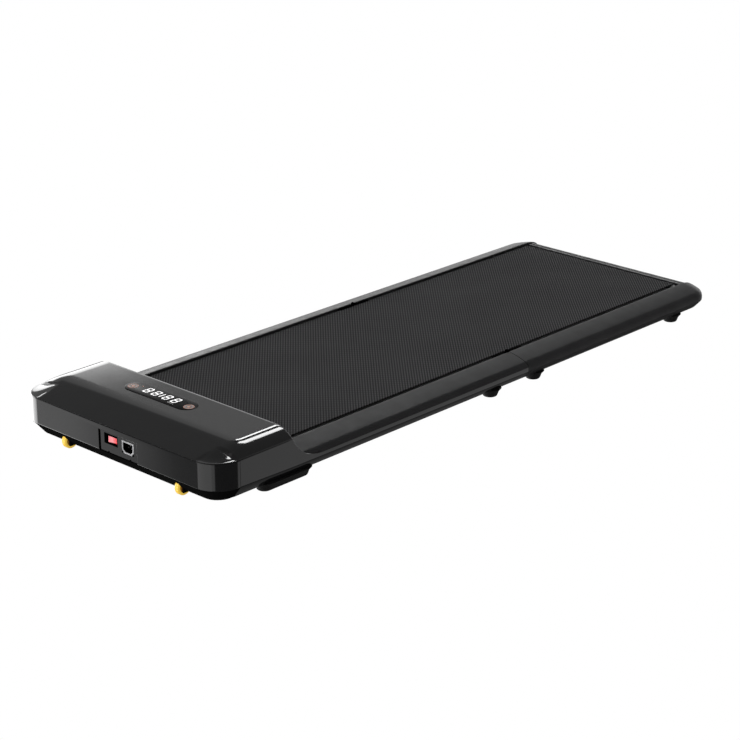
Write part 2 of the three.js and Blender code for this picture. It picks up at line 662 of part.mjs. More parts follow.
function addSidePanels() {
  const frontEnd = SEAM_Y - SEAM_HALF_GAP;
  const inner = HALF_WIDTH - SKIN;
  const section = (y, footZ) => [
    [HALF_WIDTH, y, HEAD_WALL_TOP], [inner, y, HEAD_WALL_TOP - 1.5],
    [inner, y, footZ + 1], [CHAMFER_X - 1, y, BASE_Z + SKIN],
    [FLANGE_X, y, BASE_Z + SKIN], [FLANGE_X, y, BASE_Z], [CHAMFER_X, y, BASE_Z],
    [HALF_WIDTH, y, footZ],
  ];
  const panel = loftStrip([section(SIDE_SPLIT_Y, 40), section(-540, 37),
    section(frontEnd, WALL_FOOT_Z)]);
  const above = [
    [-541, 120], ...sweepCurve(), [SEAM_Y + 5, SHOULDER_Z], [SEAM_Y + 5, 120],
  ];
  addPair('side_panel_front', panel.subtract(prismX(above, 250, 270)), FINISH.glossBlack);
}

/** Lofts L-shaped sections: the strip is made of convex quads joined along its length. */
function loftStrip(sections) {
  const quads = [[0, 1, 2, 7], [7, 2, 3, 6], [6, 3, 4, 5]];
  const parts = quads.map((quad) => loft(sections.map((s) => quad.map((i) => s[i])).reverse()));
  return parts[0].add(parts[1]).add(parts[2]);
}

/** Skin that follows the rail's crest, from the lip beside the belt to the shoulder. */
function crestSkin() {
  const inner = [
    [HALF_WIDTH - SKIN - 0.6, SHOULDER_Z], [255.4, 47.8], [252.4, 50.4], [247, 52.9],
    [237.6, 55.8], [228.4, 58.5], [217, 61.1], [RAIL_INNER_X + 2, 61.9],
    [RAIL_INNER_X + 2, DECK_TOP + 0.3], [RAIL_INNER_X, DECK_TOP + 0.3],
  ];
  return [...RAIL_CREST, ...inner];
}

function addRailCoversFront() {
  const skin = crestSkin().map(([x, z]) => [x, Math.max(z, SHOULDER_Z + GAP)]);
  const cover = prismY(skin, -552, SEAM_Y - SEAM_HALF_GAP);
  const clearance = [
    [-560, SHOULDER_Z], ...sweepCurve().reverse().map(([y, z]) => [y + 0.3, z + 0.3]),
    [-560, 95],
  ];
  const keepOut = [[-560, 40], [-470, 40], ...clearance.slice(1)];
  addPair('rail_cover_front', cover.subtract(prismX(keepOut, HALF_WIDTH - SKIN - 0.3, 265)),
    FINISH.satinBlack);
}

/** The rear rails are one moulding each: crest, wall, chamfer and a rounded tail corner. */
function railForm(inset, y0) {
  const crest = RAIL_CREST.map(([x, z]) => [x - inset * 0.5, z - inset]);
  const section = [
    [RAIL_INNER_X - (inset ? 5 : 0), RAIL_TOP_Z - inset], ...crest.slice(1),
    [HALF_WIDTH - inset, 42], [HALF_WIDTH - inset, WALL_FOOT_Z + inset * 0.4],
    [CHAMFER_X - inset * 0.4, BASE_Z + inset], [RAIL_INNER_X - (inset ? 5 : 0), BASE_Z + inset],
  ];
  const endY = TAIL_Y - inset;
  const r = TAIL_CORNER_R - inset;
  const plan = [
    [190, y0], [HALF_WIDTH - inset, y0],
    ...arc(HALF_WIDTH - inset - r, endY - r, r, 0, 90, 10), [190, endY],
  ];
  const nose = TAIL_NOSE_R;
  const profile = [
    [y0, BASE_Z + inset], [endY - 18, BASE_Z + inset], [endY, WALL_FOOT_Z],
    ...arc(endY - nose, RAIL_TOP_Z - inset - nose, nose, 0, 90, 6), [y0, RAIL_TOP_Z - inset],
  ];
  return prismY(section, y0, endY + 1)
    .intersect(prismZ(plan, 0, 100))
    .intersect(prismX(profile, 180, 270));
}

function addRailShellsRear() {
  const start = SEAM_Y + SEAM_HALF_GAP;
  const shell = railForm(0, start).subtract(railForm(SKIN, start - 1));
  const lip = box(RAIL_INNER_X, RAIL_INNER_X + 2, start, UNDERSIDE_REAR_Y, DECK_TOP + 0.3,
    RAIL_TOP_Z - 1);
  const openUnder = box(190, FLANGE_X, start - 1, UNDERSIDE_REAR_Y + GAP, 0, 40);
  addPair('rail_shell_rear', shell.subtract(openUnder).add(lip), FINISH.satinBlack);
}

function addBottomCovers() {
  const edge = FLANGE_X - GAP;
  const z1 = BASE_Z + SKIN - 0.2;
  add('bottom_cover_front', box(-edge, edge, -600, SEAM_Y - SEAM_HALF_GAP, BASE_Z, z1),
    FINISH.underBlack);
  add('bottom_cover_rear', box(-edge, edge, SEAM_Y + SEAM_HALF_GAP, UNDERSIDE_REAR_Y, BASE_Z,
    z1), FINISH.underBlack);
}

function addTailBar() {
  const r = 13;
  const outer = [
    [TAIL_BAR_Y0, BASE_Z], [TAIL_BAR_Y1 - 12, BASE_Z], [TAIL_BAR_Y1, 28],
    ...arc(TAIL_BAR_Y1 - r, TAIL_BAR_TOP - r, r, 0, 90, 6), [TAIL_BAR_Y0, TAIL_BAR_TOP],
  ];
  const inner = [
    [TAIL_BAR_Y0 - 1, BASE_Z + SKIN], [TAIL_BAR_Y1 - 13, BASE_Z + SKIN],
    [TAIL_BAR_Y1 - SKIN, 29],
    ...arc(TAIL_BAR_Y1 - r, TAIL_BAR_TOP - r, r - SKIN, 0, 90, 6),
    [TAIL_BAR_Y0 - 1, TAIL_BAR_TOP - SKIN],
  ];
  const skin = prismX(outer, -TAIL_BAR_HALF, TAIL_BAR_HALF)
    .subtract(prismX(inner, -TAIL_BAR_HALF - 1, TAIL_BAR_HALF + 1));
  add('tail_end_bar', skin, FINISH.satinBlack);
}

// ---- fold hinges ----------------------------------------------------------------------------
/** A hinge leaf: a strap on the deck, with knuckles that stand up to the fold axis. */
function hingeLeaf(direction, spans) {
  const along = (d) => SEAM_Y + direction * d;
  const flat = (a, b) => [Math.min(a, b), Math.max(a, b)];
  const z0 = DECK_TOP + 0.2;
  const z1 = HINGE_Z - 2.4;
  const strapY = flat(along(3.4), along(42));
  const x0 = HINGE_X - 3.6;
  const x1 = HINGE_X + 3.6;
  let leaf = box(x0, x1, strapY[0], strapY[1], z0, z1);
  for (const [from, to] of spans) {
    const armY = flat(along(0.6), along(4));
    leaf = leaf
      .add(box(HINGE_X + from, HINGE_X + to, armY[0], armY[1], z0, z1))
      .add(rodX(KNUCKLE_R, HINGE_X + from, HINGE_X + to, SEAM_Y, HINGE_Z, 16));
  }
  return leaf;
}

function addHinges() {
  const outerSpans = [[-3.6, -1.5], [1.5, 3.6]];
  const innerSpans = [[-1.2, 1.2]];
  const bore = rodX(HINGE_PIN_R + 0.3, HINGE_X - 1.4, HINGE_X + 1.4, SEAM_Y, HINGE_Z, 24);
  const pin = rodX(HINGE_PIN_R, HINGE_X - 3, HINGE_X + 3, SEAM_Y, HINGE_Z, 24);
  addPair('hinge_leaf_front', hingeLeaf(-1, outerSpans).add(pin), FINISH.steelBlack);
  addPair('hinge_leaf_rear', hingeLeaf(1, innerSpans).subtract(bore), FINISH.steelBlack);
}

// ---- feet and transport wheels --------------------------------------------------------------
/** A foot that flares from its sole to its top, stretched between two end centres. */
function footForm(y0, y1) {
  const sole = FOOT_SOLE_R;
  const profile = [
    [sole - 2, 0], [sole, 0.6], [sole + 1.6, 3], [sole + 3, 7], [FOOT_TOP_R - 3, 13],
    [FOOT_TOP_R, BASE_Z - GAP],
  ];
  return loft(profile.map(([r, z]) => [
    ...arc(FOOT_X, y0, r, 180, 360, 12), ...arc(FOOT_X, y1, r, 0, 180, 12),
  ].map(([x, y]) => [x, y, z])));
}

function addFeet() {
  for (const [place, [y0, y1]] of Object.entries(FOOT_SPANS)) {
    addPair(`foot_${place}`, footForm(y0, y1), FINISH.rubber);
  }
}

function addTransportWheels() {
  const half = WHEEL_WIDTH / 2;
  const bore = WHEEL_AXLE_R + 0.2;
  const tyre = [
    [-half, bore], [-half, 5.5], [-half + 2.5, 6.5], [-half + 2.5, 9.5], [-half, 10.5],
    [-half, WHEEL_R - 2], [-half + 2, WHEEL_R], [half - 2, WHEEL_R], [half, WHEEL_R - 2],
    [half, 10.5], [half - 2.5, 9.5], [half - 2.5, 6.5], [half, 5.5], [half, bore],
    [-half, bore],
  ];
  const wheel = turnedX(tyre.map(([x, r]) => [x + WHEEL_X, r]), WHEEL_Y, WHEEL_Z, 28);
  addPair('transport_wheel', wheel, FINISH.yellow);
  const reach = WHEEL_WIDTH / 2 + 5.3;
  const axle = rodX(WHEEL_AXLE_R, WHEEL_X - reach, WHEEL_X + reach, WHEEL_Y, WHEEL_Z, 20);
  addPair('wheel_axle', axle, FINISH.steel);
}

addCrown();
addBumper();
addBottomPan();
addSocketPanel();
addPowerSwitch();
addPowerInlet();
addMotor();
addDriveBelt();
addController();
addRollers();
addRunningSurface();
addFrame();
addSidePanels();
addRailCoversFront();
addRailShellsRear();
addBottomCovers();
addTailBar();
addHinges();
addFeet();
addTransportWheels();

treadmill.position.y = -(HEAD_Y + TAIL_Y) / 2;

export default treadmill;
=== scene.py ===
"""Looks for the folding walking pad: shells, belt, display, wheels, materials, light, camera.

Shapes are worked out in drawing millimetres: head at -Y, tail at +Y, floor at Z 0. The CAD
frame has its origin midway along the pad, a little ahead of the drawing's.
"""
import json
import math

import bmesh
import bpy
from mathutils import Matrix, Vector


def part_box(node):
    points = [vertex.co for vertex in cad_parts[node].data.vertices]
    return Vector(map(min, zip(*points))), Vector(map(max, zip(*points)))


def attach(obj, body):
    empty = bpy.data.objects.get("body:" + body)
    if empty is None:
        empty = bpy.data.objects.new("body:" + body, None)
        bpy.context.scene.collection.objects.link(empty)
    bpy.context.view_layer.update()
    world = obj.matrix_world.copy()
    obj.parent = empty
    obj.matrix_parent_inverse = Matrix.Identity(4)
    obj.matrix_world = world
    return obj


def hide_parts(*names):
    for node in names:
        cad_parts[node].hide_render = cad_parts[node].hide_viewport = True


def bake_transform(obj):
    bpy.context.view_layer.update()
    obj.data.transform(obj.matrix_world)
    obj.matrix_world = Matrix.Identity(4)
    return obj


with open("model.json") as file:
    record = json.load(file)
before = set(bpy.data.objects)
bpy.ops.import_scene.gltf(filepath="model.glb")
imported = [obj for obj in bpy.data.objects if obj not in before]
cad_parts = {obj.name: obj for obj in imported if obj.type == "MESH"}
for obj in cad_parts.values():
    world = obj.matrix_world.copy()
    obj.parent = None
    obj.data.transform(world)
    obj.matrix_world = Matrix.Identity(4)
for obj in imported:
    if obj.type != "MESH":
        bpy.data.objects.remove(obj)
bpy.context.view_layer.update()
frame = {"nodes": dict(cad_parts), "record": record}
MM = 0.001
SHIFT_Y = 7  # the CAD frame's y less the drawing's, in millimetres


def node_box(node):
    """A CAD node's lowest and highest corner in drawing millimetres."""
    low, high = ([c / MM for c in corner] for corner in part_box(node))
    low[1] -= SHIFT_Y
    high[1] -= SHIFT_Y
    return low, high


def metres(point):
    """A drawing point in the CAD frame."""
    x, y, z = point
    return Vector((x, y + SHIFT_Y, z)) * MM


# ---- driving dimensions, in millimetres, the same as the CAD model's ------------------------
HALF_WIDTH = node_box("head_bumper")[1][0]
HEAD_Y = node_box("head_bumper")[0][1]
TAIL_Y = node_box("rail_shell_rear_right")[1][1]
SEAM_FRONT_Y = node_box("deck_front")[1][1]
SEAM_REAR_Y = node_box("deck_rear")[0][1]
SEAM_Y = (SEAM_FRONT_Y + SEAM_REAR_Y) / 2
SIDE_SPLIT_Y = node_box("side_panel_front_right")[0][1]
CROWN_REAR_Y = node_box("head_crown_cover")[1][1]
CROWN_TOP_Z = node_box("head_crown_cover")[1][2]
WALL_TOP_Z = node_box("head_bumper")[1][2]
WALL_FOOT_Z = node_box("head_bumper")[0][2]
CROWN_EDGE_Z = WALL_TOP_Z + 1.6
CROWN_DOME = 1
SHOULDER_WIDTH = 45
FRONT_SLOPE = 58
FRONT_FILLET = 32
CORNER_R = 50
SKIN = 2.4
BASE_Z = 17
RAIL_FOOT_Z = 35
SHOULDER_Z = 45.2
CHAMFER_X = 241
FLANGE_X = 228
RAIL_INNER_X = node_box("rail_cover_front_right")[0][0]
RAIL_CREST = [
    (209.5, 64.4), (213, 64.1), (217, 63.4), (223, 62.2), (229, 60.8), (238.3, 58.2),
    (247.8, 55.2), (251.3, 53.8), (254, 52), (256.1, 50.3), (257.6, 48.5), (258.5, 46.9),
    (259, SHOULDER_Z),
]
BELT_TOP_Z = node_box("walking_belt_front")[1][2]
BELT_BOTTOM_Z = node_box("walking_belt_front")[0][2]
BELT_LEFT_X = -203.3
BELT_RIGHT_X = 193.7
BELT_FRONT_Y = node_box("walking_belt_front")[0][1]
BELT_REAR_Y = node_box("walking_belt_rear")[1][1]
BELT_T = 1.8


# ---- mesh helpers ---------------------------------------------------------------------------
def new_object(name, verts, faces):
    """A new object in the scene from millimetre points."""
    mesh = bpy.data.meshes.new(name)
    mesh.from_pydata([metres(v) for v in verts], [], faces)
    piece = bpy.data.objects.new(name, mesh)
    bpy.context.scene.collection.objects.link(piece)
    return piece


def finish_mesh(mesh, sharp):
    """Welds the seams, turns faces outwards and shades smooth but for sharp edges."""
    welded = bmesh.new()
    welded.from_mesh(mesh)
    bmesh.ops.remove_doubles(welded, verts=welded.verts, dist=1e-6)
    bmesh.ops.recalc_face_normals(welded, faces=welded.faces)
    welded.to_mesh(mesh)
    welded.free()
    mesh.polygons.foreach_set("use_smooth", [True] * len(mesh.polygons))
    mesh.set_sharp_from_angle(angle=math.radians(sharp))


def build(name, verts, faces, look, body, slot, replaces=(), sharp=40):
    """Makes a piece that wears a look, stands in for CAD nodes and rides a body."""
    piece = new_object(name, verts, faces)
    finish_mesh(piece.data, sharp)
    piece.data.materials.append(MATERIALS[look])
    if replaces:
        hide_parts(*replaces)
    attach(piece, body)
    return piece


def loft(rings, caps=True):
    """Verts and quads joining closed rings of equal length, with a face over each end."""
    count = len(rings[0])
    verts = [point for ring in rings for point in ring]
    faces = []
    for r in range(len(rings) - 1):
        for i in range(count):
            a = r * count + i
            b = r * count + (i + 1) % count
            faces.append((a, b, b + count, a + count))
    if caps:
        faces.append(tuple(range(count))[::-1])
        faces.append(tuple(range((len(rings) - 1) * count, len(rings) * count)))
    return verts, faces


def revolve(profile, centre, steps=64):
    """Verts and faces of a closed (along, radius) profile turned about an axis along X."""
    x, y, z = centre
    rings = []
    for k in range(steps):
        angle = 2 * math.pi * k / steps
        c, s = math.cos(angle), math.sin(angle)
        rings.append([(x + a, y + r * c, z + r * s) for a, r in profile])
    rings.append(rings[0])
    return loft(rings, caps=False)


def arc(cx, cy, radius, start, end, steps):
    points = []
    for k in range(steps + 1):
        angle = math.radians(start + (end - start) * k / steps)
        points.append((cx + radius * math.cos(angle), cy + radius * math.sin(angle)))
    return points


def graded(end, first, growth, widest):
    """Distances from 0 to end whose steps grow from first up to widest."""
    marks = [0.0]
    step = first
    while marks[-1] + step < end:
        marks.append(marks[-1] + step)
        step = min(step * growth, widest)
    if end - marks[-1] < step * 0.4 and len(marks) > 1:
        marks.pop()
    marks.append(end)
    return marks


def bevel(piece, width, segments=3, angle=35):
    """Rounds a piece's hard edges by a width in millimetres."""
    modifier = piece.modifiers.new("edges", "BEVEL")
    modifier.width = width * MM
    modifier.segments = segments
    modifier.limit_method = "ANGLE"
    modifier.angle_limit = math.radians(angle)
    return piece


HANDS = {1: "right", -1: "left"}


def mirrored(points, side):
    """Points on the right (side 1) as they are, or reflected to the left (side -1)."""
    return [(side * x, y, z) for x, y, z in points]


# ---- materials ------------------------------------------------------------------------------
def new_material(name):
    material = bpy.data.materials.new(name)
    material.use_nodes = True
    return material, material.node_tree, material.node_tree.nodes["Principled BSDF"]


def plug(tree, node, inputs):
    """Sets a node's inputs by name or number, each to a value or to another node's output."""
    for name, value in inputs.items():
        if isinstance(value, bpy.types.NodeSocket):
            tree.links.new(value, node.inputs[name])
        else:
            node.inputs[name].default_value = value


def add_node(tree, kind, **values):
    """Adds a node, then sets its properties and, by socket name, its inputs."""
    node = tree.nodes.new(kind)
    for key, value in values.items():
        if key in node.inputs:
            plug(tree, node, {key: value})
        else:
            setattr(node, key, value)
    return node


def noise(tree, scale, detail=3.0, source="Object"):
    where = add_node(tree, "ShaderNodeTexCoord").outputs[source]
    return add_node(tree, "ShaderNodeTexNoise", Scale=scale, Detail=detail,
                    Vector=where).outputs["Fac"]


def drawn_noise(tree, stretch, detail):
    """Noise drawn out along an axis by a stretch for each axis."""
    where = add_node(tree, "ShaderNodeTexCoord").outputs["Object"]
    mapping = add_node(tree, "ShaderNodeMapping", Scale=stretch, Vector=where)
    return add_node(tree, "ShaderNodeTexNoise", Scale=1.0, Detail=detail,
                    Vector=mapping.outputs["Vector"]).outputs["Fac"]


def ramp(tree, value, low, high, to_low, to_high):
    """Maps a value from low..high to to_low..to_high."""
    node = add_node(tree, "ShaderNodeMapRange")
    plug(tree, node, dict(enumerate((value, low, high, to_low, to_high))))
    return node.outputs[0]


def math_node(tree, operation, a, b=None):
    node = add_node(tree, "ShaderNodeMath", operation=operation)
    plug(tree, node, {0: a} if b is None else {0: a, 1: b})
    return node.outputs[0]


def mix_colour(tree, factor, a, b):
    node = add_node(tree, "ShaderNodeMix", data_type="RGBA")
    plug(tree, node, {0: factor, 6: (*a, 1), 7: (*b, 1)})
    return node.outputs[2]


def bump(tree, shader, height, strength, distance):
    node = add_node(tree, "ShaderNodeBump", Strength=strength, Distance=distance,
                    Height=height)
    plug(tree, shader, {"Normal": node.outputs["Normal"]})


def scaled(colour, factor):
    return tuple(c * factor for c in colour)


def moulded(name, colour, rough, grain, depth, spread=0.15, specular=0.5, lift=0.0):
    """Moulded plastic or rubber: fine grain, uneven gloss, a faint mottle and a paler colour on
    sharp convex edges.

    Lift is the share of its own colour that the piece also gives off as light, so that a
    bright plastic reads as brightly in the dark studio as in the photograph.
    """
    material, tree, shader = new_material(name)
    edges = add_node(tree, "ShaderNodeNewGeometry").outputs["Pointiness"]
    # the colour turns paler where Pointiness finds a sharp convex edge
    pale_edge_tint = ramp(tree, edges, 0.53, 0.62, 0.0, 0.35)
    tone = math_node(tree, "ADD", ramp(tree, noise(tree, 22, 4), 0.3, 0.7, 0.0, 0.6), pale_edge_tint)
    tinted = mix_colour(tree, tone, scaled(colour, 0.9), scaled(colour, 1.25))
    plug(tree, shader, {
        "Base Color": tinted, "Specular IOR Level": specular,
        "Roughness": ramp(tree, noise(tree, 60, 5), 0.3, 0.7, rough * (1 - spread),
                          rough * (1 + spread))})
    if lift:
        plug(tree, shader, {"Emission Color": tinted, "Emission Strength": lift})
    bump(tree, shader, noise(tree, grain, 2), depth, 0.00012)
    return material


def metal(name, colour, rough, stretch):
    """Bare or plated metal; its grain is drawn into lines where the stretch differs by axis."""
    material, tree, shader = new_material(name)
    line = drawn_noise(tree, stretch, 3.0)
    plug(tree, shader, {"Roughness": ramp(tree, line, 0.3, 0.7, rough * 0.75, rough * 1.3),
                        "Base Color": mix_colour(tree, line, scaled(colour, 0.85), colour),
                        "Metallic": 1.0})
    bump(tree, shader, line, 0.15, 0.00005)
    return material


RIB_SPACING = 0.00495


def belt_material():
    """PVC walking belt: fine 45-degree ribs broken into short diamonds by a crossing weave."""
    material, tree, shader = new_material("belt_surface")
    uv = add_node(tree, "ShaderNodeUVMap", uv_map="belt").outputs["UV"]
    across, along, _ = add_node(tree, "ShaderNodeSeparateXYZ", Vector=uv).outputs
    root_half = math.sqrt(0.5)

    def wave(direction, spacing):
        total = math_node(tree, "ADD", across, math_node(tree, "MULTIPLY", along, direction))
        turns = math_node(tree, "MULTIPLY", total, 2 * math.pi * root_half / spacing)
        return ramp(tree, math_node(tree, "SINE", turns), -1, 1, 0, 1)

    ribs = wave(1, RIB_SPACING)
    cross = wave(-1, RIB_SPACING * 2.2)
    threads = math_node(tree, "MULTIPLY", ribs, ramp(tree, cross, 0.0, 0.35, 0.55, 1.0))
    grit = noise(tree, 2600, 2, "UV")
    height = math_node(tree, "ADD", threads, math_node(tree, "MULTIPLY", grit, 0.15))
    dust = ramp(tree, noise(tree, 9, 5), 0.35, 0.75, 0.0, 0.12)
    # the grooves between the ribs are painted darker than the rib tops: painted shade in the
    # grooves; the dust mottle is real dirt
    tone = math_node(tree, "ADD", ramp(tree, threads, 0.15, 0.85, 0.0, 0.85), dust)
    plug(tree, shader, {
        "Base Color": mix_colour(tree, tone, (0.018, 0.018, 0.019), (0.074, 0.074, 0.076)),
        "Roughness": ramp(tree, threads, 0, 1, 0.9, 0.75), "Specular IOR Level": 0.08})
    bump(tree, shader, height, 0.5, 0.0004)
    return material


def glowing(name, colour, strength, rough=0.3):
    """A lit lens or digit; the light is a little uneven, as from a lamp behind."""
    material, tree, shader = new_material(name)
    glow = ramp(tree, noise(tree, 180, 2), 0.3, 0.7, 0.8, 1.0)
    plug(tree, shader, {"Base Color": mix_colour(tree, glow, scaled(colour, 0.75), colour),
                        "Emission Color": mix_colour(tree, glow, scaled(colour, 0.6), colour),
                        "Emission Strength": strength, "Roughness": rough})
    return material


def board_material():
    """Deck board: nearly black fibreboard with a drawn-out grain."""
    material, tree, shader = new_material("deck_board")
    fibre = drawn_noise(tree, (260, 12, 260), 6.0)
    plug(tree, shader, {
        "Base Color": mix_colour(tree, fibre, (0.0015, 0.0014, 0.0012),
                                 (0.004, 0.0035, 0.003)),
        "Roughness": ramp(tree, fibre, 0, 1, 0.75, 0.5), "Specular IOR Level": 0.05})
    bump(tree, shader, fibre, 0.3, 0.0002)
    return material


def rocker_material():
    """Lit red plastic, paler on its raised half as a painted highlight and darker towards its
    other end as painted shade: (share of its width, colour) stops.
    """
    # painted highlight on the raised half, painted shade towards the other end
    painted_light_stops = ((0.0, (0.85, 0.22, 0.24)), (0.4, (0.9, 0.3, 0.32)), (0.75, (0.8, 0.06, 0.07)),
              (1.0, (0.7, 0.01, 0.02)))
    material, tree, shader = new_material("rocker")
    where = add_node(tree, "ShaderNodeTexCoord").outputs["Generated"]
    across = add_node(tree, "ShaderNodeSeparateXYZ", Vector=where).outputs[0]
    cloud = ramp(tree, noise(tree, 140, 2), 0.3, 0.7, -0.05, 0.05)
    stops = add_node(tree, "ShaderNodeValToRGB")
    while len(stops.color_ramp.elements) < len(painted_light_stops):
        stops.color_ramp.elements.new(0.5)
    for element, (share, colour) in zip(stops.color_ramp.elements, painted_light_stops):
        element.position = share
        element.color = (*colour, 1)
    plug(tree, stops, {0: math_node(tree, "ADD", across, cloud)})
    plug(tree, shader, {"Base Color": stops.outputs[0], "Emission Color": stops.outputs[0],
                        "Emission Strength": 0.5,
                        "Roughness": ramp(tree, noise(tree, 500, 2), 0.3, 0.7, 0.24, 0.36)})
    return material


# colour, roughness, grain scale, grain depth, spread of roughness, specular level, lift
MATERIALS = {name: moulded(name, *look) for name, look in {
    "gloss_black": ((0.0095, 0.0095, 0.01), 0.07, 1500, 0.02, 0.1),
    "satin_black": ((0.034, 0.034, 0.035), 0.36, 1800, 0.06, 0.15, 0.07),
    "tail_grey": ((0.075, 0.075, 0.076), 0.4, 1800, 0.06, 0.15, 0.12),
    "cover_black": ((0.022, 0.022, 0.023), 0.55, 900, 0.4, 0.2, 0.3),
    "deep_black": ((0.001, 0.001, 0.001), 0.7, 1300, 0.3, 0.1, 0.0),
    "display_black": ((0.0008, 0.0008, 0.0009), 0.2, 600, 0.01, 0.1, 0.02),
    "under_black": ((0.007, 0.007, 0.007), 0.6, 1300, 0.5, 0.15, 0.0),
    "frame_steel": ((0.02, 0.02, 0.021), 0.45, 3200, 0.3),
    "rubber": ((0.008, 0.008, 0.008), 0.7, 900, 0.4, 0.1, 0.35),
    "yellow": ((1.0, 0.66, 0.09), 0.42, 1800, 0.15, 0.15, 0.5, 0.45),
    # the hub's brown is the yellow wheel's side in shade: painted shade
    "hub_brown": ((0.3, 0.13, 0.015), 0.45, 1800, 0.15, 0.15, 0.5, 0.3),
    "grey_trim": ((0.42, 0.42, 0.43), 0.4, 1600, 0.15),
    "pin_metal": ((0.4, 0.4, 0.41), 0.4, 1600, 0.1),
    "circuit_green": ((0.01, 0.09, 0.03), 0.4, 800, 0.3),
}.items()}
MATERIALS.update({
    "belt_black": belt_material(),
    "deck_board": board_material(),
    "bright_steel": metal("bright_steel", (0.6, 0.6, 0.62), 0.25, (40, 900, 900)),
    "aluminium": metal("aluminium", (0.66, 0.67, 0.69), 0.35, (300, 300, 300)),
    "red": glowing("red", (1.0, 0.1, 0.12), 0.55, 0.25),
    "rocker": rocker_material(),
    "digit": glowing("digit", (1.0, 1.0, 1.0), 1.0),
    "tick": glowing("tick", (0.5, 0.5, 0.5), 0.5),
    "touch_ring": glowing("touch_ring", (0.2, 0.045, 0.008), 0.6),
    "touch_field": glowing("touch_field", (0.03, 0.008, 0.003), 0.5),
    "touch_dot": glowing("touch_dot", (0.26, 0.075, 0.02), 0.6),
})


def dress_cad_nodes():
    """Gives every CAD node its slot's finish, then a darker one to what shows in the gaps, as
    painted shade that keeps the gaps black.
    """
    for entry in frame["record"]["subparts"]:
        node = frame["nodes"][entry["node"]]
        node.data.materials.clear()
        node.data.materials.append(MATERIALS[entry["material_slot"]])
    special = {"bottom_cover_front": "cover_black", "bottom_cover_rear": "cover_black"}
    # the tail roller and its blocks show in the gap at the tail bar: their dark finish is painted
    # shade
    for node in ("rear_roller_block_right", "rear_roller_block_left", "rear_roller",
                 "rear_roller_axle"):
        special[node] = "frame_steel"
    # the hinge leaves in the fold's seam are made near black: painted shade for the dark gap
    for end in ("front", "rear"):
        for hand in ("right", "left"):
            special[f"hinge_leaf_{end}_{hand}"] = "deep_black"
    for node, look in special.items():
        frame["nodes"][node].data.materials[0] = MATERIALS[look]


# ---- head -----------------------------------------------------------------------------------
def head_half_width(depth):
    """Half the head's width at a depth behind its front face: the plan's corners are round."""
    if depth >= CORNER_R:
        return HALF_WIDTH
    return HALF_WIDTH - CORNER_R + math.sqrt(CORNER_R**2 - (CORNER_R - depth) ** 2)


def edge_distances(x, y):
    """Distance from a plan point in to the head's side and to its front."""
    corner_x = abs(x) - (HALF_WIDTH - CORNER_R)
    corner_y = HEAD_Y + CORNER_R - y
    corner = math.inf
    if corner_x > 0 and corner_y > 0:
        corner = CORNER_R - math.hypot(corner_x, corner_y)
    side = max(0.0, min(HALF_WIDTH - abs(x), corner))
    return side, max(0.0, min(y - HEAD_Y, corner))


EDGE_R = 0.9


def shoulder_rise(side):
    """Share of the crown's rise reached at a distance in from its side."""
    return 1 - max(0.0, 1 - side / SHOULDER_WIDTH) ** 2.5


def front_rise(depth):
    """Share of the rise at a depth behind the front: a straight slope, then a soft bend."""
    full = FRONT_SLOPE + FRONT_FILLET / 2
    if depth <= FRONT_SLOPE:
        return depth / full
    t = min(1.0, (depth - FRONT_SLOPE) / FRONT_FILLET)
    return (FRONT_SLOPE + FRONT_FILLET * (t - t**3 + t**4 / 2)) / full


def crown_z(x, y):
    """The crown's height: nearly flat, falling to its sides and front, with a rolled edge."""
    side, front = edge_distances(x, y)
    top = CROWN_TOP_Z - CROWN_DOME * (x / HALF_WIDTH) ** 2
    height = CROWN_EDGE_Z + (top - CROWN_EDGE_Z) * shoulder_rise(side) * front_rise(front)
    short = max(0.0, 1 - min(side, front) / EDGE_R)
    return height - EDGE_R * (1 - math.sqrt(max(0.0, 1 - short**2)))


def interpolate(points, x):
    """Height at x along a polyline of rising x."""
    for (x0, z0), (x1, z1) in zip(points, points[1:]):
        if x <= x1:
            t = max(0.0, (x - x0) / (x1 - x0))
            return z0 + (z1 - z0) * t
    return points[-1][1]


def crown_foot(x):
    """Foot of the crown's rear wall, just above the belt and the rail covers."""
    if abs(x) < RAIL_INNER_X - 4:
        return BELT_TOP_Z + 2
    return interpolate([(RAIL_INNER_X - 4, BELT_TOP_Z + 2)] + [
        (x_crest, z + 0.6) for x_crest, z in RAIL_CREST], abs(x))


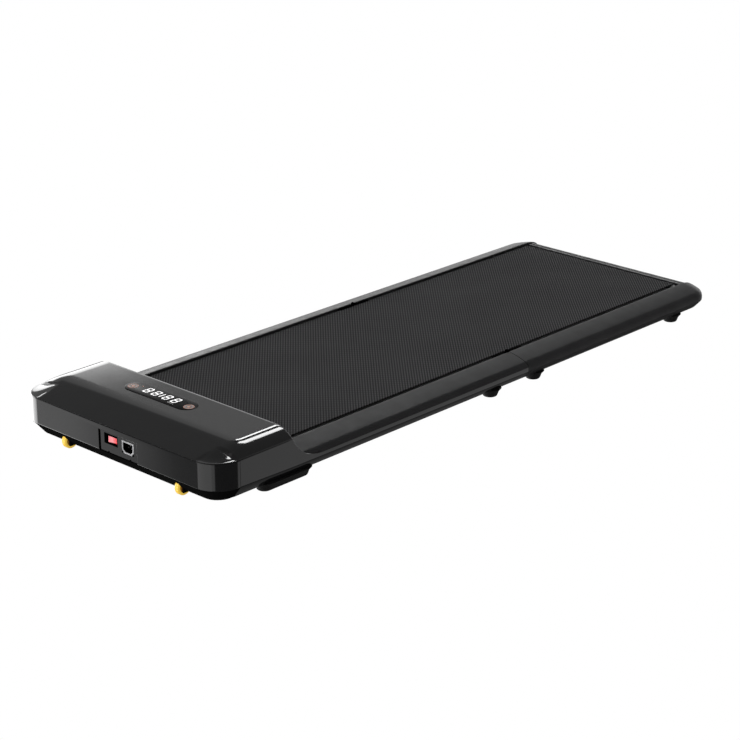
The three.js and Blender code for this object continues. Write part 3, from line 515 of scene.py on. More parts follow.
def crown():
    half = [1 - d / HALF_WIDTH for d in graded(HALF_WIDTH, 0.12, 1.3, 3)]
    columns = [-c for c in half] + half[::-1][1:]
    roll = 2.2
    depths = graded(CROWN_REAR_Y - roll - HEAD_Y, 0.12, 1.3, 3)
    rows = []
    for depth in depths:
        y = HEAD_Y + depth
        width = head_half_width(depth) - 0.1
        rows.append([(c * width, y, crown_z(c * width, y)) for c in columns])
    rear = rows[-1]
    inner = HALF_WIDTH - SKIN - 0.4
    for k in range(1, 8):
        turn = math.pi / 2 * k / 7
        rows.append([(x, y + roll * math.sin(turn), z - roll * (1 - math.cos(turn)))
                     for x, y, z in rear])
    for share in (0.3, 0.9, 1.0):
        rows.append([(max(-inner, min(inner, x)), CROWN_REAR_Y,
                      z - roll + (crown_foot(x) - z + roll) * share) for x, y, z in rear])
    skirt_z = CROWN_EDGE_Z - 1.0
    skirt = [(x, y, skirt_z) for x, y, z in rows[0]]
    verts = [point for row in [skirt] + rows for point in row]
    wide = len(columns)
    faces = []
    for r in range(len(rows)):
        for c in range(wide - 1):
            a = r * wide + c
            faces.append((a, a + 1, a + 1 + wide, a + wide))
    for edge in (0, wide - 1):
        ring = [(r + 1) * wide + edge for r in range(len(depths))]
        lower = [len(verts) + k for k in range(len(ring))]
        verts += [(*verts[index][:2], skirt_z) for index in ring]
        for k in range(len(ring) - 1):
            faces.append((ring[k], ring[k + 1], lower[k + 1], lower[k]))
    piece = build("crown_shell", verts, faces, "gloss_black", "front_base",
                  "gloss_black", ["head_crown_cover"], sharp=50)
    shell = piece.modifiers.new("wall", "SOLIDIFY")
    shell.thickness = 1.2 * MM
    shell.offset = -1
    return piece


def head_outline(inset, rear_y, steps=24):
    """Plan of the head from the rear right, round the front, to the rear left."""
    radius = CORNER_R - inset
    x = HALF_WIDTH - CORNER_R
    y = HEAD_Y + CORNER_R
    return ([(HALF_WIDTH - inset, rear_y)] + arc(x, y, radius, 0, -90, steps)
            + arc(-x, y, radius, -90, -180, steps) + [(-HALF_WIDTH + inset, rear_y)])


def cut(piece, cutters, sharp=40):
    """Cuts closed cutter meshes out of a piece for good, then removes the cutters."""
    for cutter in cutters:
        modifier = piece.modifiers.new("cut", "BOOLEAN")
        modifier.operation = "DIFFERENCE"
        modifier.solver = "EXACT"
        modifier.object = cutter
    bpy.context.view_layer.update()
    graph = bpy.context.evaluated_depsgraph_get()
    mesh = bpy.data.meshes.new_from_object(piece.evaluated_get(graph))
    piece.modifiers.clear()
    piece.data = mesh
    for cutter in cutters:
        bpy.data.objects.remove(cutter)
    mesh.set_sharp_from_angle(angle=math.radians(sharp))
    return piece


def cutter_box(x0, x1, y0, y1, z0, z1):
    outline = [(x0, y0), (x1, y0), (x1, y1), (x0, y1)]
    return new_object("cutter", *loft([[(x, y, z) for x, y in outline] for z in (z0, z1)]))


def bumper():
    """The head's front wall and round corners, with rolled edges and the panel's opening."""
    wall = 3.0
    section = [(wall, WALL_FOOT_Z + 0.6), (1.2, WALL_FOOT_Z), (0.35, WALL_FOOT_Z + 0.35),
               (0, WALL_FOOT_Z + 1.2), (0, WALL_FOOT_Z + 2), (0, WALL_TOP_Z - 1.7),
               (0, WALL_TOP_Z - 0.9), (0.25, WALL_TOP_Z - 0.25),
               (0.9, WALL_TOP_Z), (wall, WALL_TOP_Z)]
    rear_y = SIDE_SPLIT_Y - 0.3
    outlines = {inset: head_outline(inset, rear_y) for inset, _ in section}
    count = len(outlines[0])
    rings = [[(*outlines[inset][k], z) for inset, z in section] for k in range(count)]
    verts, faces = loft(rings)
    piece = build("head_bumper_shell", verts, faces, "gloss_black", "front_base",
                  "gloss_black", ["head_bumper"])
    low, high = node_box("socket_panel")
    slot_width = 5
    opening = cutter_box(low[0] - slot_width, high[0] + 0.3, HEAD_Y - 5, HEAD_Y + 9,
                         low[2] - 1.6, high[2] + 0.3)
    return bevel(cut(piece, [opening]), 0.35, 2, 60)


# ---- rails ----------------------------------------------------------------------------------
def bezier(p0, p1, p2, p3, t):
    s = 1 - t
    weights = (s**3, 3 * s * s * t, 3 * s * t * t, t**3)
    return tuple(sum(w * p[k] for w, p in zip(weights, (p0, p1, p2, p3))) for k in (0, 1))


def sweep():
    """The curve by which the head's side walls come down to the rails, as (y, z)."""
    points = ((-541, WALL_TOP_Z + 0.8), (-530, 66), (-508, 46), (-470, SHOULDER_Z))
    return [bezier(*points, t / 40) for t in range(41)]


def wall_foot(foot_z):
    """Section from a side wall's foot, down the chamfer and in along the flange."""
    return [(HALF_WIDTH, foot_z + 2.5), (HALF_WIDTH - 0.5, foot_z + 0.7),
            (HALF_WIDTH - 2, foot_z - 1.6), (CHAMFER_X + 1.6, BASE_Z + 1.2),
            (CHAMFER_X - 0.4, BASE_Z + 0.1), (CHAMFER_X - 2, BASE_Z), (FLANGE_X, BASE_Z)]


def wall_inside(foot_z):
    """The rest of that section, back along the inside of the flange and chamfer."""
    return [(FLANGE_X, BASE_Z + SKIN), (CHAMFER_X - 1, BASE_Z + SKIN),
            (HALF_WIDTH - SKIN, foot_z + 1)]


def side_panel(side):
    """Head side wall, rail wall and chamfer of the front half, in one moulding."""
    curve = sweep()
    ahead = [(SIDE_SPLIT_Y + k * (curve[0][0] - SIDE_SPLIT_Y) / 8, WALL_TOP_Z)
             for k in range(8)]
    behind = [(curve[-1][0] + k * (SEAM_FRONT_Y - curve[-1][0]) / 20, SHOULDER_Z)
              for k in range(1, 21)]
    head_rear_y = -540
    rings = []
    for y, top in ahead + curve + behind:
        top = min(top, WALL_TOP_Z)
        share = max(0.0, min(1.0, (y - SIDE_SPLIT_Y) / (head_rear_y - SIDE_SPLIT_Y)))
        rest = max(0.0, min(1.0, (y - head_rear_y) / (SEAM_FRONT_Y - head_rear_y)))
        foot_z = 40 - 3 * share - 2 * rest
        section = [
            (HALF_WIDTH - SKIN, top - 0.6), (HALF_WIDTH - 0.9, top),
            (HALF_WIDTH - 0.3, top - 0.3), (HALF_WIDTH, top - 0.9),
            (HALF_WIDTH, max(foot_z + 3.6, top - 1.7)), (HALF_WIDTH, foot_z + 3.3),
        ] + wall_foot(foot_z) + wall_inside(foot_z)
        rings.append([(x, y, z) for x, z in section])
    verts, faces = loft([mirrored(ring, side) for ring in rings])
    name = "side_panel_front_" + HANDS[side]
    piece = build(name + "_shell", verts, faces, "gloss_black", "front_base",
                  "gloss_black", [name], sharp=35)
    return bevel(piece, 0.4, 3, 60)


def crest_inside():
    return [(HALF_WIDTH - 3, SHOULDER_Z), (255.4, 47.8), (252.4, 50.4), (247, 52.9),
            (237.6, 55.8), (228.4, 58.5), (217, 61.1), (RAIL_INNER_X + 2, 61.9),
            (RAIL_INNER_X + 2, 59.7), (RAIL_INNER_X, 59.7), (RAIL_INNER_X, 63.9),
            (RAIL_INNER_X + 0.15, 64.25)]


def smooth_crest(steps=4):
    """The crest's outer line, rounded through its points by a Catmull-Rom curve."""
    points = [RAIL_CREST[0]] + RAIL_CREST + [RAIL_CREST[-1]]
    line = []
    for k in range(1, len(points) - 2):
        before, start, end, after = points[k - 1:k + 3]
        for j in range(steps):
            t = j / steps
            line.append(tuple(0.5 * (2 * b + (c - a) * t + (2 * a - 5 * b + 4 * c - d) * t**2
                                     + (3 * b - a - 3 * c + d) * t**3)
                              for a, b, c, d in zip(before, start, end, after)))
    line.append(RAIL_CREST[-1])
    return line


def rail_cover(side):
    """Crest cover of a front rail; it tucks in behind the head's side wall."""
    curve = sweep()
    section = smooth_crest()[1:] + crest_inside()
    inner = HALF_WIDTH - SKIN - 0.35
    stations = [-552, -545] + [y for y, _ in curve[6:]] + [
        curve[-1][0] + k * (SEAM_FRONT_Y - 0.5 - curve[-1][0]) / 30 for k in range(1, 31)]
    rings = []
    for y in stations:
        tucked = y < curve[-1][0] - 3
        limit = inner if tucked else HALF_WIDTH
        rings.append([(min(x, limit), y, max(z, SHOULDER_Z + 0.3)) for x, z in section])
    verts, faces = loft([mirrored(ring, side) for ring in rings])
    name = "rail_cover_front_" + HANDS[side]
    piece = build(name + "_shell", verts, faces, "satin_black", "front_base",
                  "satin_black", [name], sharp=38)
    return bevel(piece, 0.5, 3, 50)


TAIL_CORNER_R = 45


def rear_shell(side):
    """Rear rail: crest, wall and chamfer, closed by a rounded tail corner."""
    outside = smooth_crest()[1:] + [(HALF_WIDTH, 43.5)] + wall_foot(RAIL_FOOT_Z)
    section = (outside + wall_inside(RAIL_FOOT_Z) + [(HALF_WIDTH - SKIN, 43)]
               + crest_inside()[1:])
    solid = outside + [(RAIL_INNER_X, BASE_Z)] + crest_inside()[-2:]
    corner_y = TAIL_Y - TAIL_CORNER_R
    straight = [SEAM_REAR_Y + k * (corner_y - SEAM_REAR_Y) / 30 for k in range(31)]
    rings = [[(x, y, z) for x, z in section] for y in straight]
    nose_length, nose_drop = 38, 15
    upturn_length, upturn_slope = 18, 0.9
    low, high = BASE_Z, RAIL_CREST[0][1]
    ends = []
    for k in range(25):
        turn = math.pi / 2 * k / 24
        y = corner_y + TAIL_CORNER_R * math.sin(turn)
        reach = HALF_WIDTH - TAIL_CORNER_R * (1 - math.cos(turn))
        into_nose = max(0.0, y - (TAIL_Y - nose_length)) / nose_length
        drop = nose_drop * (1 - math.sqrt(max(0.0, 1 - into_nose**2)))
        lift = max(0.0, y - (TAIL_Y - upturn_length)) * upturn_slope
        ring = []
        for x, z in solid:
            share = (x - RAIL_INNER_X) / (HALF_WIDTH - RAIL_INNER_X)
            height = (z - low) / (high - low)
            ring.append((RAIL_INNER_X + share * (reach - RAIL_INNER_X), y,
                         low + lift + height * (high - drop - low - lift)))
        ends.append(ring)
    name = "rail_shell_rear_" + HANDS[side]
    verts, faces = loft([mirrored(ring, side) for ring in rings])
    offset = len(verts)
    more_verts, more_faces = loft([mirrored(ring, side) for ring in ends])
    verts += more_verts
    faces += [tuple(index + offset for index in face) for face in more_faces]
    piece = build(name + "_form", verts, faces, "satin_black", "rear_half",
                  "satin_black", [name], sharp=38)
    return bevel(piece, 0.5, 3, 50)


def tail_bar():
    """The bar behind the belt: a rounded nose with a light ridge along its top."""
    low, high = node_box("tail_end_bar")
    y0, y1, top = low[1], high[1], high[2]
    nose = 13
    outline = (
        [(y0, top - 2.4), (y0, top - 0.8), (y0 + 0.8, top), (y0 + 5, top), (y0 + 6, top - 0.7),
         (y0 + 7.5, top - 0.7), (y0 + 8.5, top)]
        + arc(y1 - nose, top - nose, nose, 90, 0, 14)
        + [(y1, 28), (y1 - 12, BASE_Z), (y0, BASE_Z), (y0, BASE_Z + SKIN),
           (y1 - 13, BASE_Z + SKIN), (y1 - SKIN, 29)]
        + arc(y1 - nose, top - nose, nose - SKIN, 0, 90, 10)
    )
    verts, faces = loft([[(x, y, z) for y, z in outline] for x in (low[0], 0, high[0])])
    piece = build("tail_bar_shell", verts, faces, "tail_grey", "rear_half",
                  "satin_black", ["tail_end_bar"])
    return bevel(piece, 0.5, 3, 50)


# ---- belt -----------------------------------------------------------------------------------
def belt_path():
    """The belt's outer line in (y, z), from the seam on top, round the tail, back to the seam."""
    radius = (BELT_TOP_Z - BELT_BOTTOM_Z) / 2
    middle = (BELT_TOP_Z + BELT_BOTTOM_Z) / 2
    rear_y = BELT_REAR_Y - radius
    front_y = BELT_FRONT_Y + radius

    def run(start, end, z, first):
        marks = graded(abs(end - start), first, 1.35, 14)
        step = 1 if end > start else -1
        return [(start + step * mark, z) for mark in marks]

    rear_top = run(SEAM_Y, rear_y, BELT_TOP_Z, 0.5)
    rear_turn = arc(rear_y, middle, radius, 90, -90, 28)[1:]
    rear_low = run(SEAM_Y, rear_y, BELT_BOTTOM_Z, 0.5)[::-1][1:]
    front_low = run(SEAM_Y, front_y, BELT_BOTTOM_Z, 0.5)[1:]
    front_turn = arc(front_y, middle, radius, 270, 90, 28)[1:]
    front_top = run(SEAM_Y, front_y, BELT_TOP_Z, 0.5)[::-1][1:-1]
    return rear_top + rear_turn + rear_low + front_low + front_turn + front_top


def walking_belt():
    """The whole endless belt as one piece."""
    path = belt_path()
    count = len(path)
    inset = []
    for k in range(count):
        before, after = path[k - 1], path[(k + 1) % count]
        dy, dz = after[0] - before[0], after[1] - before[1]
        size = math.hypot(dy, dz)
        inset.append((path[k][0] + dz / size * BELT_T, path[k][1] - dy / size * BELT_T))
    lip = 0.5
    columns = [BELT_LEFT_X, BELT_LEFT_X, BELT_LEFT_X + lip, BELT_LEFT_X / 2, 0,
               BELT_RIGHT_X / 2, BELT_RIGHT_X - lip, BELT_RIGHT_X, BELT_RIGHT_X]
    rings = []
    for outer, inner in zip(path, inset):
        def between(share):
            return tuple(o + (i - o) * share for o, i in zip(outer, inner))
        shoulder = between(lip / BELT_T)
        levels = [inner, shoulder] + [outer] * 5 + [shoulder, inner]
        rings.append([(x, *level) for x, level in zip(columns, levels)])
    rings.append(rings[0])
    verts, faces = loft(rings, caps=False)
    lengths = [0.0]
    for k in range(count):
        a, b = path[k], path[(k + 1) % count]
        lengths.append(lengths[-1] + math.hypot(b[0] - a[0], b[1] - a[1]))
    belt = new_object("walking_belt", verts, faces)
    mesh = belt.data
    layer = mesh.uv_layers.new(name="belt")
    wide = len(rings[0])
    for loop in mesh.loops:
        row, column = divmod(loop.vertex_index, wide)
        layer.data[loop.index].uv = (verts[loop.vertex_index][0] * MM, lengths[row] * MM)
    finish_mesh(mesh, 25)
    mesh.materials.append(MATERIALS["belt_black"])
    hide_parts("walking_belt_front", "walking_belt_rear")
    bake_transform(belt)
    return belt


# ---- deck -----------------------------------------------------------------------------------
def deck(end, body):
    """The board under the belt; beyond the belt's edges it is cut down into a dark rebate."""
    low, high = node_box(f"deck_{end}")
    rebate_x, rebate_z = 199, 52
    section = [(low[0], low[2]), (high[0], low[2]), (high[0], rebate_z), (rebate_x, rebate_z),
               (rebate_x, high[2]), (-rebate_x, high[2]), (-rebate_x, rebate_z),
               (low[0], rebate_z)]
    verts, faces = loft([[(x, y, z) for x, z in section] for y in (low[1], high[1])])
    return build(f"deck_board_{end}", verts, faces, "deck_board", body,
                 "deck_board", [f"deck_{end}"])


def rebate_end(side):
    """The dark ledge between the belt's edge and the rail, carried on to the tail bar: it stands
    for the frame's flange, and its near-black board finish keeps the gap black as painted shade.
    """
    inner, outer = sorted((side * 196, side * RAIL_INNER_X))
    outline = [(inner, 44), (outer, 44), (outer, 50), (inner, 50)]
    start, stop = node_box("deck_rear")[1][1], node_box("tail_end_bar")[0][1]
    verts, faces = loft([[(x, y, z) for x, z in outline] for y in (start, stop)])
    return build(f"rebate_end_{HANDS[side]}", verts, faces, "deck_board", "rear_half",
                 "deck_board")


# ---- display --------------------------------------------------------------------------------
def display_place():
    """Centre, length and width of the display window, from the CAD's."""
    low, high = node_box("display_window")
    x, y = (low[0] + high[0]) / 2, (low[1] + high[1]) / 2
    return x, y, high[0] - low[0], high[1] - low[1]


DISPLAY_X, DISPLAY_Y, DISPLAY_LENGTH, DISPLAY_WIDTH = display_place()
DISPLAY_Z = crown_z(DISPLAY_X, DISPLAY_Y)
MARK_LEVELS = (0.3, 0.6)  # a mark's underside, inside the lens, and its face just proud of it


def on_display(x, y, z):
    """A point given from the display's centre, placed on the crown."""
    return (DISPLAY_X + x, DISPLAY_Y + y, DISPLAY_Z + z)


def pill(length, width, steps=32):
    half = (length - width) / 2
    return (arc(half, 0, width / 2, -90, 90, steps) + arc(-half, 0, width / 2, 90, 270, steps))


def plate(name, outline, look):
    """A flat mark on the display."""
    rings = [[on_display(x, y, z) for x, y in outline] for z in MARK_LEVELS]
    return build(name, *loft(rings), look, "front_base", "display_black")


def display_window():
    rings = [[on_display(x, y, z) for x, y in pill(DISPLAY_LENGTH - 2 * inset,
                                                   DISPLAY_WIDTH - 2 * inset)]
             for inset, z in ((0, -2.4), (0, 0.1), (0.25, 0.35), (0.8, 0.45))]
    return build("display_lens", *loft(rings), "display_black", "front_base",
                 "display_black", ["display_window"], sharp=60)


SEGMENTS = (("H", 0, 1), ("H", 0, 0), ("H", 0, -1), ("V", -1, 0.5), ("V", 1, 0.5),
            ("V", -1, -0.5), ("V", 1, -0.5))


def digits():
    """Four seven-segment digits in two pairs, slanted as such digits are."""
    wide, tall, bar, slant = 10.5, 18.5, 2.0, 0.12
    group_x, group_y = 0.5, 2.0
    verts, faces = [], []

    def add_bar(cx, cy, half_length, upright):
        tip = bar / 2
        shape = [(-half_length, 0), (-half_length + tip, tip), (half_length - tip, tip),
                 (half_length, 0), (half_length - tip, -tip), (-half_length + tip, -tip)]
        if upright:
            shape = [(-y, x) for x, y in shape]
        start = len(verts)
        for level in (0.4, 0.6):
            for x, y in shape:
                verts.append(on_display(group_x + cx + x + slant * (cy + y),
                                        group_y + cy + y, level))
        count = len(shape)
        faces.append(tuple(range(start + count, start + 2 * count)))
        for k in range(count):
            n = (k + 1) % count
            faces.append((start + k, start + n, start + count + n, start + count + k))

    within_pair, between_pairs = 22.0, 29.0
    for pair in (-1, 1):
        for centre in (pair * between_pairs / 2, pair * (between_pairs / 2 + within_pair)):
            for kind, sx, sy in SEGMENTS:
                if kind == "H":
                    add_bar(centre, sy * tall / 2, wide / 2, False)
                else:
                    add_bar(centre + sx * wide / 2, sy * tall / 2, tall / 4 - 0.4, True)
    add_bar(0, 0, tall / 2 - 1, True)
    return build("display_digits", verts, faces, "digit", "front_base",
                 "display_black")


def ring_mark(name, x, y, outer_r, inner_r, look):
    """A flat ring on the display; with no inner radius it is a dot."""
    outer = arc(x, y, outer_r, 0, 360, 40)[:-1]
    if not inner_r:
        return plate(name, outer, look)
    inner = arc(x, y, inner_r, 0, 360, 40)[:-1]
    sunk, proud = MARK_LEVELS
    rings = [[on_display(px, py, z) for px, py in loop]
             for loop, z in ((outer, sunk), (outer, proud), (inner, proud), (inner, sunk))]
    rings.append(rings[0])
    return build(name, *loft(rings, caps=False), look, "front_base", "display_black")


def display_marks():
    """Two touch keys, each a dim ring round a brighter dot, a small lamp and a few ticks."""
    for name, x in (("left", -73.0), ("right", 74.5)):
        ring_mark(f"touch_ring_{name}", x, -2, 10, 8.6, "touch_ring")
        ring_mark(f"touch_field_{name}", x, -2, 8.4, 4.2, "touch_field")
        ring_mark(f"touch_dot_{name}", x, -2, 3.2, 0, "touch_dot")
    ring_mark("status_dot", -58.5, 9, 1.6, 0, "touch_ring")
    for k in range(4):
        x = 30 + 4.2 * k
        tick = [(x, -13.4), (x + 2.6, -13.4), (x + 2.6, -12.4), (x, -12.4)]
        plate(f"display_tick_{k + 1}", tick, "tick")


# ---- wheels and feet ------------------------------------------------------------------------
def transport_wheel(name, body):
    """A ribbed yellow tyre on a hub with a dished face; the hub's brown is painted shade on the
    wheel's sides.
    """
    low, high = node_box(name)
    centre = [(a + b) / 2 for a, b in zip(low, high)]
    extra_radius, extra_half, tyre_depth, groove = 1.8, 0.7, 4.5, 0.35
    radius = (high[2] - low[2]) / 2 + extra_radius
    half = (high[0] - low[0]) / 2 + extra_half
    seat = radius - tyre_depth
    tread = []
    for k in range(9):
        x = -half + 1.6 + k * (2 * half - 3.2) / 8
        tread.append((x, radius - (groove if k % 2 else 0)))
    tyre = ([(-half, seat), (-half, radius - 1.8), (-half + 0.6, radius - 0.6)] + tread
            + [(half - 0.6, radius - 0.6), (half, radius - 1.8), (half, seat),
               (half - 0.8, seat - 0.4), (-half + 0.8, seat - 0.4), (-half, seat)])
    build(name + "_tyre", *revolve(tyre, centre), "yellow", body, "yellow",
          [name])
    face = [(-half + 2, 3.2), (-half + 0.4, 3.6), (-half + 0.4, 5.2), (-half + 2.2, 6.2),
            (-half + 2.2, seat - 1.4), (-half + 0.9, seat - 0.5)]
    hub = face + [(-along, r) for along, r in face[::-1]] + face[:1]
    # the hub's side faces wear painted shade, a darker brown copy of the tyre's yellow
    build(name + "_hub", *revolve(hub, centre), "hub_brown", body, "yellow")


def foot(name, body):
    """A flared rubber foot with a grooved sole; the front ones are drawn out along y."""
    low, high = node_box(name)
    x = (low[0] + high[0]) / 2
    top = high[2]
    wide = (high[0] - low[0]) / 2
    profile = [(top, 0.01), (top, wide - 0.6), (top - 0.5, wide), (13, wide - 2.8),
               (10, 17), (7, 16), (4.6, 15.2), (2.6, 14.4), (1.2, 13.6), (0.35, 12.4),
               (0, 11), (0, 8), (0.8, 7.6), (0.8, 6.4), (0, 6), (0, 0.01)]
    rings = []
    for z, r in profile:
        outline = (arc(x, low[1] + wide, r, 180, 360, 24)
                   + arc(x, high[1] - wide, r, 0, 180, 24))
        rings.append([(px, py, z) for px, py in outline])
    return build(name + "_moulding", *loft(rings), "rubber", body, "rubber",
                 [name], sharp=50)


# ---- power panel ----------------------------------------------------------------------------
def facing_rings(loops):
    """Rings from (loop of (x, z) points, y) pairs."""
    return [[(x, y, z) for x, z in loop] for loop, y in loops]


def front_plate(outline, y0, y1, edge=0.5):
    """Verts and faces of a front-facing plate in (x, z), with a softened front edge."""
    cx = sum(x for x, _ in outline) / len(outline)
    cz = sum(z for _, z in outline) / len(outline)

    def shrink(amount):
        shape = []
        for x, z in outline:
            size = math.hypot(x - cx, z - cz)
            shape.append((x - (x - cx) / size * amount, z - (z - cz) / size * amount))
        return shape

    return loft(facing_rings([
        (shrink(0), y1), (shrink(0), y0 + edge),
        (shrink(edge * 0.3), y0 + edge * 0.3), (shrink(edge), y0)]))


def rounded(x0, x1, z0, z1, r, steps=8):
    return (arc(x1 - r, z0 + r, r, -90, 0, steps) + arc(x1 - r, z1 - r, r, 0, 90, steps)
            + arc(x0 + r, z1 - r, r, 90, 180, steps) + arc(x0 + r, z0 + r, r, 180, 270, steps))


def socket_panel():
    """The panel round the switch and inlet, with two small notches in its lower edge."""
    low, high = node_box("socket_panel")
    switch_low, switch_high = node_box("switch_bezel")
    inlet_low, inlet_high = node_box("power_inlet")
    outline = rounded(low[0], high[0], low[2], high[2], 1.5, 6)
    verts, faces = front_plate(outline, low[1], high[1], 0.3)
    piece = build("socket_panel_plate", verts, faces, "gloss_black", "front_base",
                  "satin_black", ["socket_panel"])
    gap, notch_half, notch_xs = 0.2, 2, (-15, 42)
    through = (low[1] - 2, high[1] + 2)
    cutters = [cutter_box(a[0] - gap, b[0] + gap, *through, a[2] - gap, b[2] + gap)
               for a, b in ((switch_low, switch_high), (inlet_low, inlet_high))]
    cutters += [cutter_box(x - notch_half, x + notch_half, *through, low[2] - 2, low[2] + 2.2)
                for x in notch_xs]
    return cut(piece, cutters, 8)


def power_switch():
    """A deep black surround and the lit rocker that tips in it about an upright pin."""
    low, high = node_box("switch_bezel")
    face = low[1]
    key_low, key_high = node_box("power_rocker")
    mouth = rounded(key_low[0] - 1, key_high[0] + 1, key_low[2] - 0.5, key_high[2] + 0.5, 0.8)
    rim = rounded(low[0], high[0], low[2], high[2], 1.2)
    lip = rounded(low[0] + 0.5, high[0] - 0.5, low[2] + 0.5, high[2] - 0.5, 1.2)
    rings = facing_rings([
        (rim, face + 14), (rim, face + 0.5), (lip, face), (mouth, face + 0.2),
        (mouth, face + 13), (rim, face + 14)])
    build("switch_surround", *loft(rings, caps=False), "deep_black", "front_base",
          "satin_black", ["switch_bezel"])
    build("switch_well", *loft(facing_rings([(mouth, face + 12), (mouth, face + 13)])),
          "deep_black", "front_base", "satin_black")
    middle = (key_low[0] + key_high[0]) / 2
    half = (key_high[0] - key_low[0]) / 2 - 0.3
    rest_tilt, pivot_depth = math.radians(7), 5.5
    outline = [(-half, -4.5), (-half / 2, -3.75), (0, -3.4), (half / 2, -3.75), (half, -4.5),
               (half - 2.5, 2.8), (-half + 2.5, 2.8)]
    c, s = math.cos(rest_tilt), math.sin(rest_tilt)
    turned = [(middle + x * c - y * s, face + pivot_depth + x * s + y * c)
              for x, y in outline]
    verts, faces = loft([[(x, y, z) for x, y in turned]
                         for z in (key_low[2] + 0.1, key_high[2] - 0.1)])
    bevel(build("rocker_key", verts, faces, "rocker", "rocker", "red", ["power_rocker"]),
          0.5, 3, 50)


def power_inlet():
    """Grey rim, black well with cut lower corners, and a light pin in the mains inlet."""
    low, high = node_box("power_inlet")
    face = low[1]
    border, corner, round_r = 3, 5, 1.5
    x0, x1 = low[0] + border, high[0] - border
    z0, z1 = low[2] + border, high[2] - border
    hole = ([(x0 + corner, z0), (x1 - corner, z0), (x1, z0 + corner)]
            + arc(x1 - round_r, z1 - round_r, round_r, 0, 90, 6)
            + arc(x0 + round_r, z1 - round_r, round_r, 90, 180, 6) + [(x0, z0 + corner)])
    centre_x, centre_z = (x0 + x1) / 2, (z0 + z1) / 2

    def block_edge(inset):
        """The block's rectangle, inset, met along the ray of each point of the hole."""
        half_x = (high[0] - low[0]) / 2 - inset
        half_z = (high[2] - low[2]) / 2 - inset
        points = []
        for x, z in hole:
            dx, dz = x - centre_x, z - centre_z
            reach = min(half_x / abs(dx) if dx else math.inf,
                        half_z / abs(dz) if dz else math.inf)
            points.append((centre_x + dx * reach, centre_z + dz * reach))
        return points

    outer = block_edge(0)
    rings = facing_rings([(outer, face + 2), (outer, face + 0.4), (block_edge(0.4), face),
                          (hole, face + 0.3), (hole, face + 2)])
    rings.append(rings[0])
    build("inlet_rim", *loft(rings, caps=False), "grey_trim", "front_base", "grey_trim",
          ["power_inlet"])
    verts, faces = loft(facing_rings([(hole, face + 0.8), (hole, face + 20),
                                      (outer, face + 22), (outer, face + 2.1)]), caps=False)
    faces.append(tuple(range(len(hole), 2 * len(hole))))
    build("inlet_well", verts, faces, "deep_black", "front_base", "grey_trim")
    for k, (dx, dz, tall) in enumerate(((-5, -1.5, 1.6), (5.5, -1, 3), (0, 2.5, 1.6))):
        x, z = centre_x + dx, centre_z + dz
        blade = [(x - 0.9, z - tall), (x + 0.9, z - tall), (x + 0.9, z + tall),
                 (x - 0.9, z + tall)]
        build(f"inlet_blade_{k + 1}", *front_plate(blade, face + 6.5, face + 20, 0.4),
              "pin_metal" if k == 1 else "frame_steel", "front_base", "grey_trim")


# ---- light, floor and camera ----------------------------------------------------------------
def window_mask(tree, value, low, high, soft):
    """1 where value lies between low and high, falling to 0 over soft on either side."""
    rise = ramp(tree, value, low - soft, low, 0, 1)
    fall = ramp(tree, value, high, high + soft, 1, 0)
    return math_node(tree, "MULTIPLY", rise, fall)


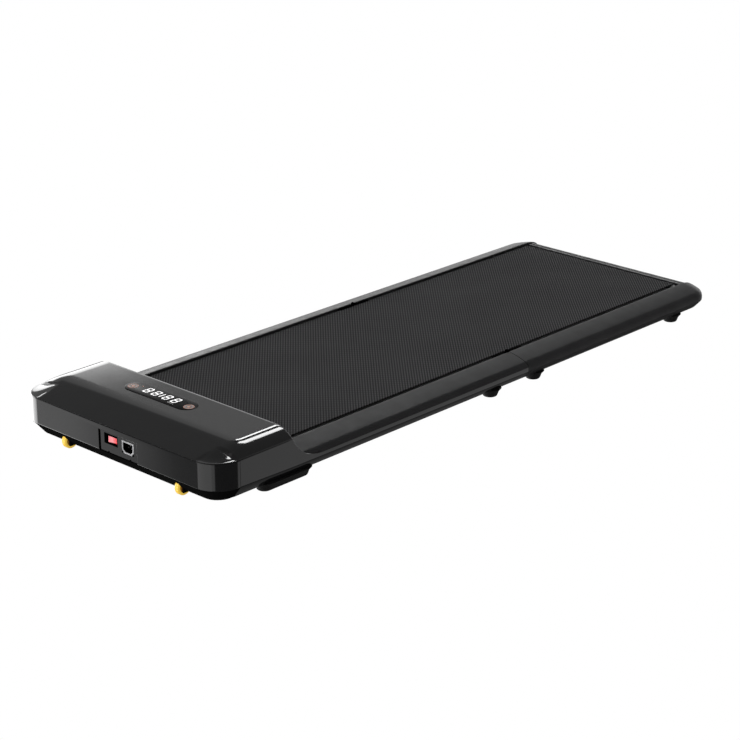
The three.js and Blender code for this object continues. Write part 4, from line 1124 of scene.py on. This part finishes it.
def studio_world():
    """The studio the glossy shell mirrors; the camera itself sees plain white.

    Each patch is a heading range in degrees, 0 towards the tail and growing towards the
    pad's left, a range of the sine of elevation, a level and how softly its edges fade.
    A later patch covers an earlier one.
    """
    patches = [
        ((-200, 200), (-1.1, -0.5), 0.1, 1, 0.05),
        ((-200, 200), (-0.42, -0.05), 1.25, 1, 0.03),
        ((-200, 200), (-0.05, 0.33), 0.9, 1, 0.05),
        ((10, 130), (-0.05, 0.335), 2.3, 20, 0.02),
        ((-200, 200), (0.375, 0.55), 0.6, 1, 0.04),
        ((-200, 200), (0.57, 1.1), 0.28, 1, 0.03),
        ((51, 123), (-0.6, 0.325), 5.5, 2, 0.02),
        ((126, 141), (-0.6, 0.2), 0.25, 2, 0.05),
        ((125, 127.5), (-0.6, 0.2), 1.35, 5, 0.05),
        ((144, 200), (-0.6, 0.2), 1.6, 4, 0.05),
        ((-200, -159), (-0.6, 0.2), 1.6, 3, 0.05),
        ((-143, -51), (-0.6, 0.3), 0.13, 4, 0.05),
        ((-48, -20), (-0.6, 0.3), 0.95, 3, 0.05),
        ((44, 57), (-0.6, -0.03), 0.03, 1.5, 0.03),
        ((16, 46), (0.555, 0.64), 0.02, 2, 0.01),
        ((36, 45.5), (0.50, 0.548), 16.0, 0.8, 0.004),
        ((20, 37.5), (0.65, 0.73), 16.0, 1.0, 0.006),
    ]
    world = bpy.data.worlds.new("studio")
    bpy.context.scene.world = world
    world.use_nodes = True
    tree = world.node_tree
    tree.nodes.clear()
    where = add_node(tree, "ShaderNodeTexCoord").outputs["Generated"]
    x, y, z = add_node(tree, "ShaderNodeSeparateXYZ", Vector=where).outputs
    heading = math_node(tree, "ARCTAN2", math_node(tree, "MULTIPLY", x, -1), y)
    heading = math_node(tree, "MULTIPLY", heading, 180 / math.pi)
    total = math_node(tree, "MULTIPLY", z, 0.0)
    for headings, heights, level, soft_heading, soft_height in patches:
        mask = math_node(tree, "MULTIPLY",
                         window_mask(tree, heading, *headings, soft_heading),
                         window_mask(tree, z, *heights, soft_height))
        step = math_node(tree, "MULTIPLY", math_node(tree, "SUBTRACT", level, total), mask)
        total = math_node(tree, "ADD", total, step)
    light = add_node(tree, "ShaderNodeBackground", Strength=total)
    plain = add_node(tree, "ShaderNodeBackground", Strength=1.0, Color=(1, 1, 1, 1))
    seen = add_node(tree, "ShaderNodeLightPath")
    pick = add_node(tree, "ShaderNodeMixShader")
    plug(tree, pick, {0: seen.outputs["Is Camera Ray"], 1: light.outputs[0],
                      2: plain.outputs[0]})
    add_node(tree, "ShaderNodeOutputWorld", Surface=pick.outputs[0])


def white_floor():
    """A plain white floor that only the camera sees, so that nothing is mirrored in it."""
    mesh = bpy.data.meshes.new("floor")
    reach = 30
    mesh.from_pydata([(-reach, -reach, 0), (reach, -reach, 0), (reach, reach, 0),
                      (-reach, reach, 0)], [], [(0, 1, 2, 3)])
    floor = bpy.data.objects.new("floor", mesh)
    bpy.context.scene.collection.objects.link(floor)
    material, tree, shader = new_material("floor_white")
    plug(tree, shader, {"Base Color": (0, 0, 0, 1), "Specular IOR Level": 0,
                        "Emission Color": (1, 1, 1, 1), "Emission Strength": 1})
    mesh.materials.append(material)
    for ray in ("diffuse", "glossy", "transmission", "shadow"):
        setattr(floor, f"visible_{ray}", False)


def camera():
    """The photograph's view: 43 degrees round from the front and 21 degrees up."""
    azimuth, elevation, distance = math.radians(43.1), math.radians(20.8), 4.038
    target = Vector((0.0557, -0.1236, 0.05))
    back = Vector((math.sin(azimuth) * math.cos(elevation),
                   -math.cos(azimuth) * math.cos(elevation), math.sin(elevation)))
    data = bpy.data.cameras.new("photo_view")
    data.lens = 103.05
    data.sensor_width = 36
    data.clip_end = 100
    view = bpy.data.objects.new("photo_view", data)
    view.matrix_world = (Matrix.Translation(target + back * distance)
                         @ back.to_track_quat("Z", "Y").to_matrix().to_4x4())
    bpy.context.scene.collection.objects.link(view)
    bpy.context.scene.camera = view


# ---- assembly -------------------------------------------------------------------------------
bpy.context.scene.view_settings.view_transform = "Standard"
camera()
studio_world()
white_floor()
dress_cad_nodes()
crown()
bumper()
for hand in (1, -1):
    side_panel(hand)
    rail_cover(hand)
    rear_shell(hand)
    rebate_end(hand)
tail_bar()
walking_belt()
deck("front", "front_base")
deck("rear", "rear_half")
display_window()
digits()
display_marks()
socket_panel()
power_switch()
power_inlet()
for hand in ("right", "left"):
    transport_wheel(f"transport_wheel_{hand}", f"wheel_{hand}")
    for spot, carrier in (("front", "front_base"), ("mid_front", "front_base"),
                          ("mid_rear", "rear_half"), ("tail", "rear_half")):
        foot(f"foot_{spot}_{hand}", carrier)
for plain_node in ("head_bottom_pan", "bottom_cover_front", "bottom_cover_rear"):
    bevel(frame["nodes"][plain_node], 0.4, 2, 50)
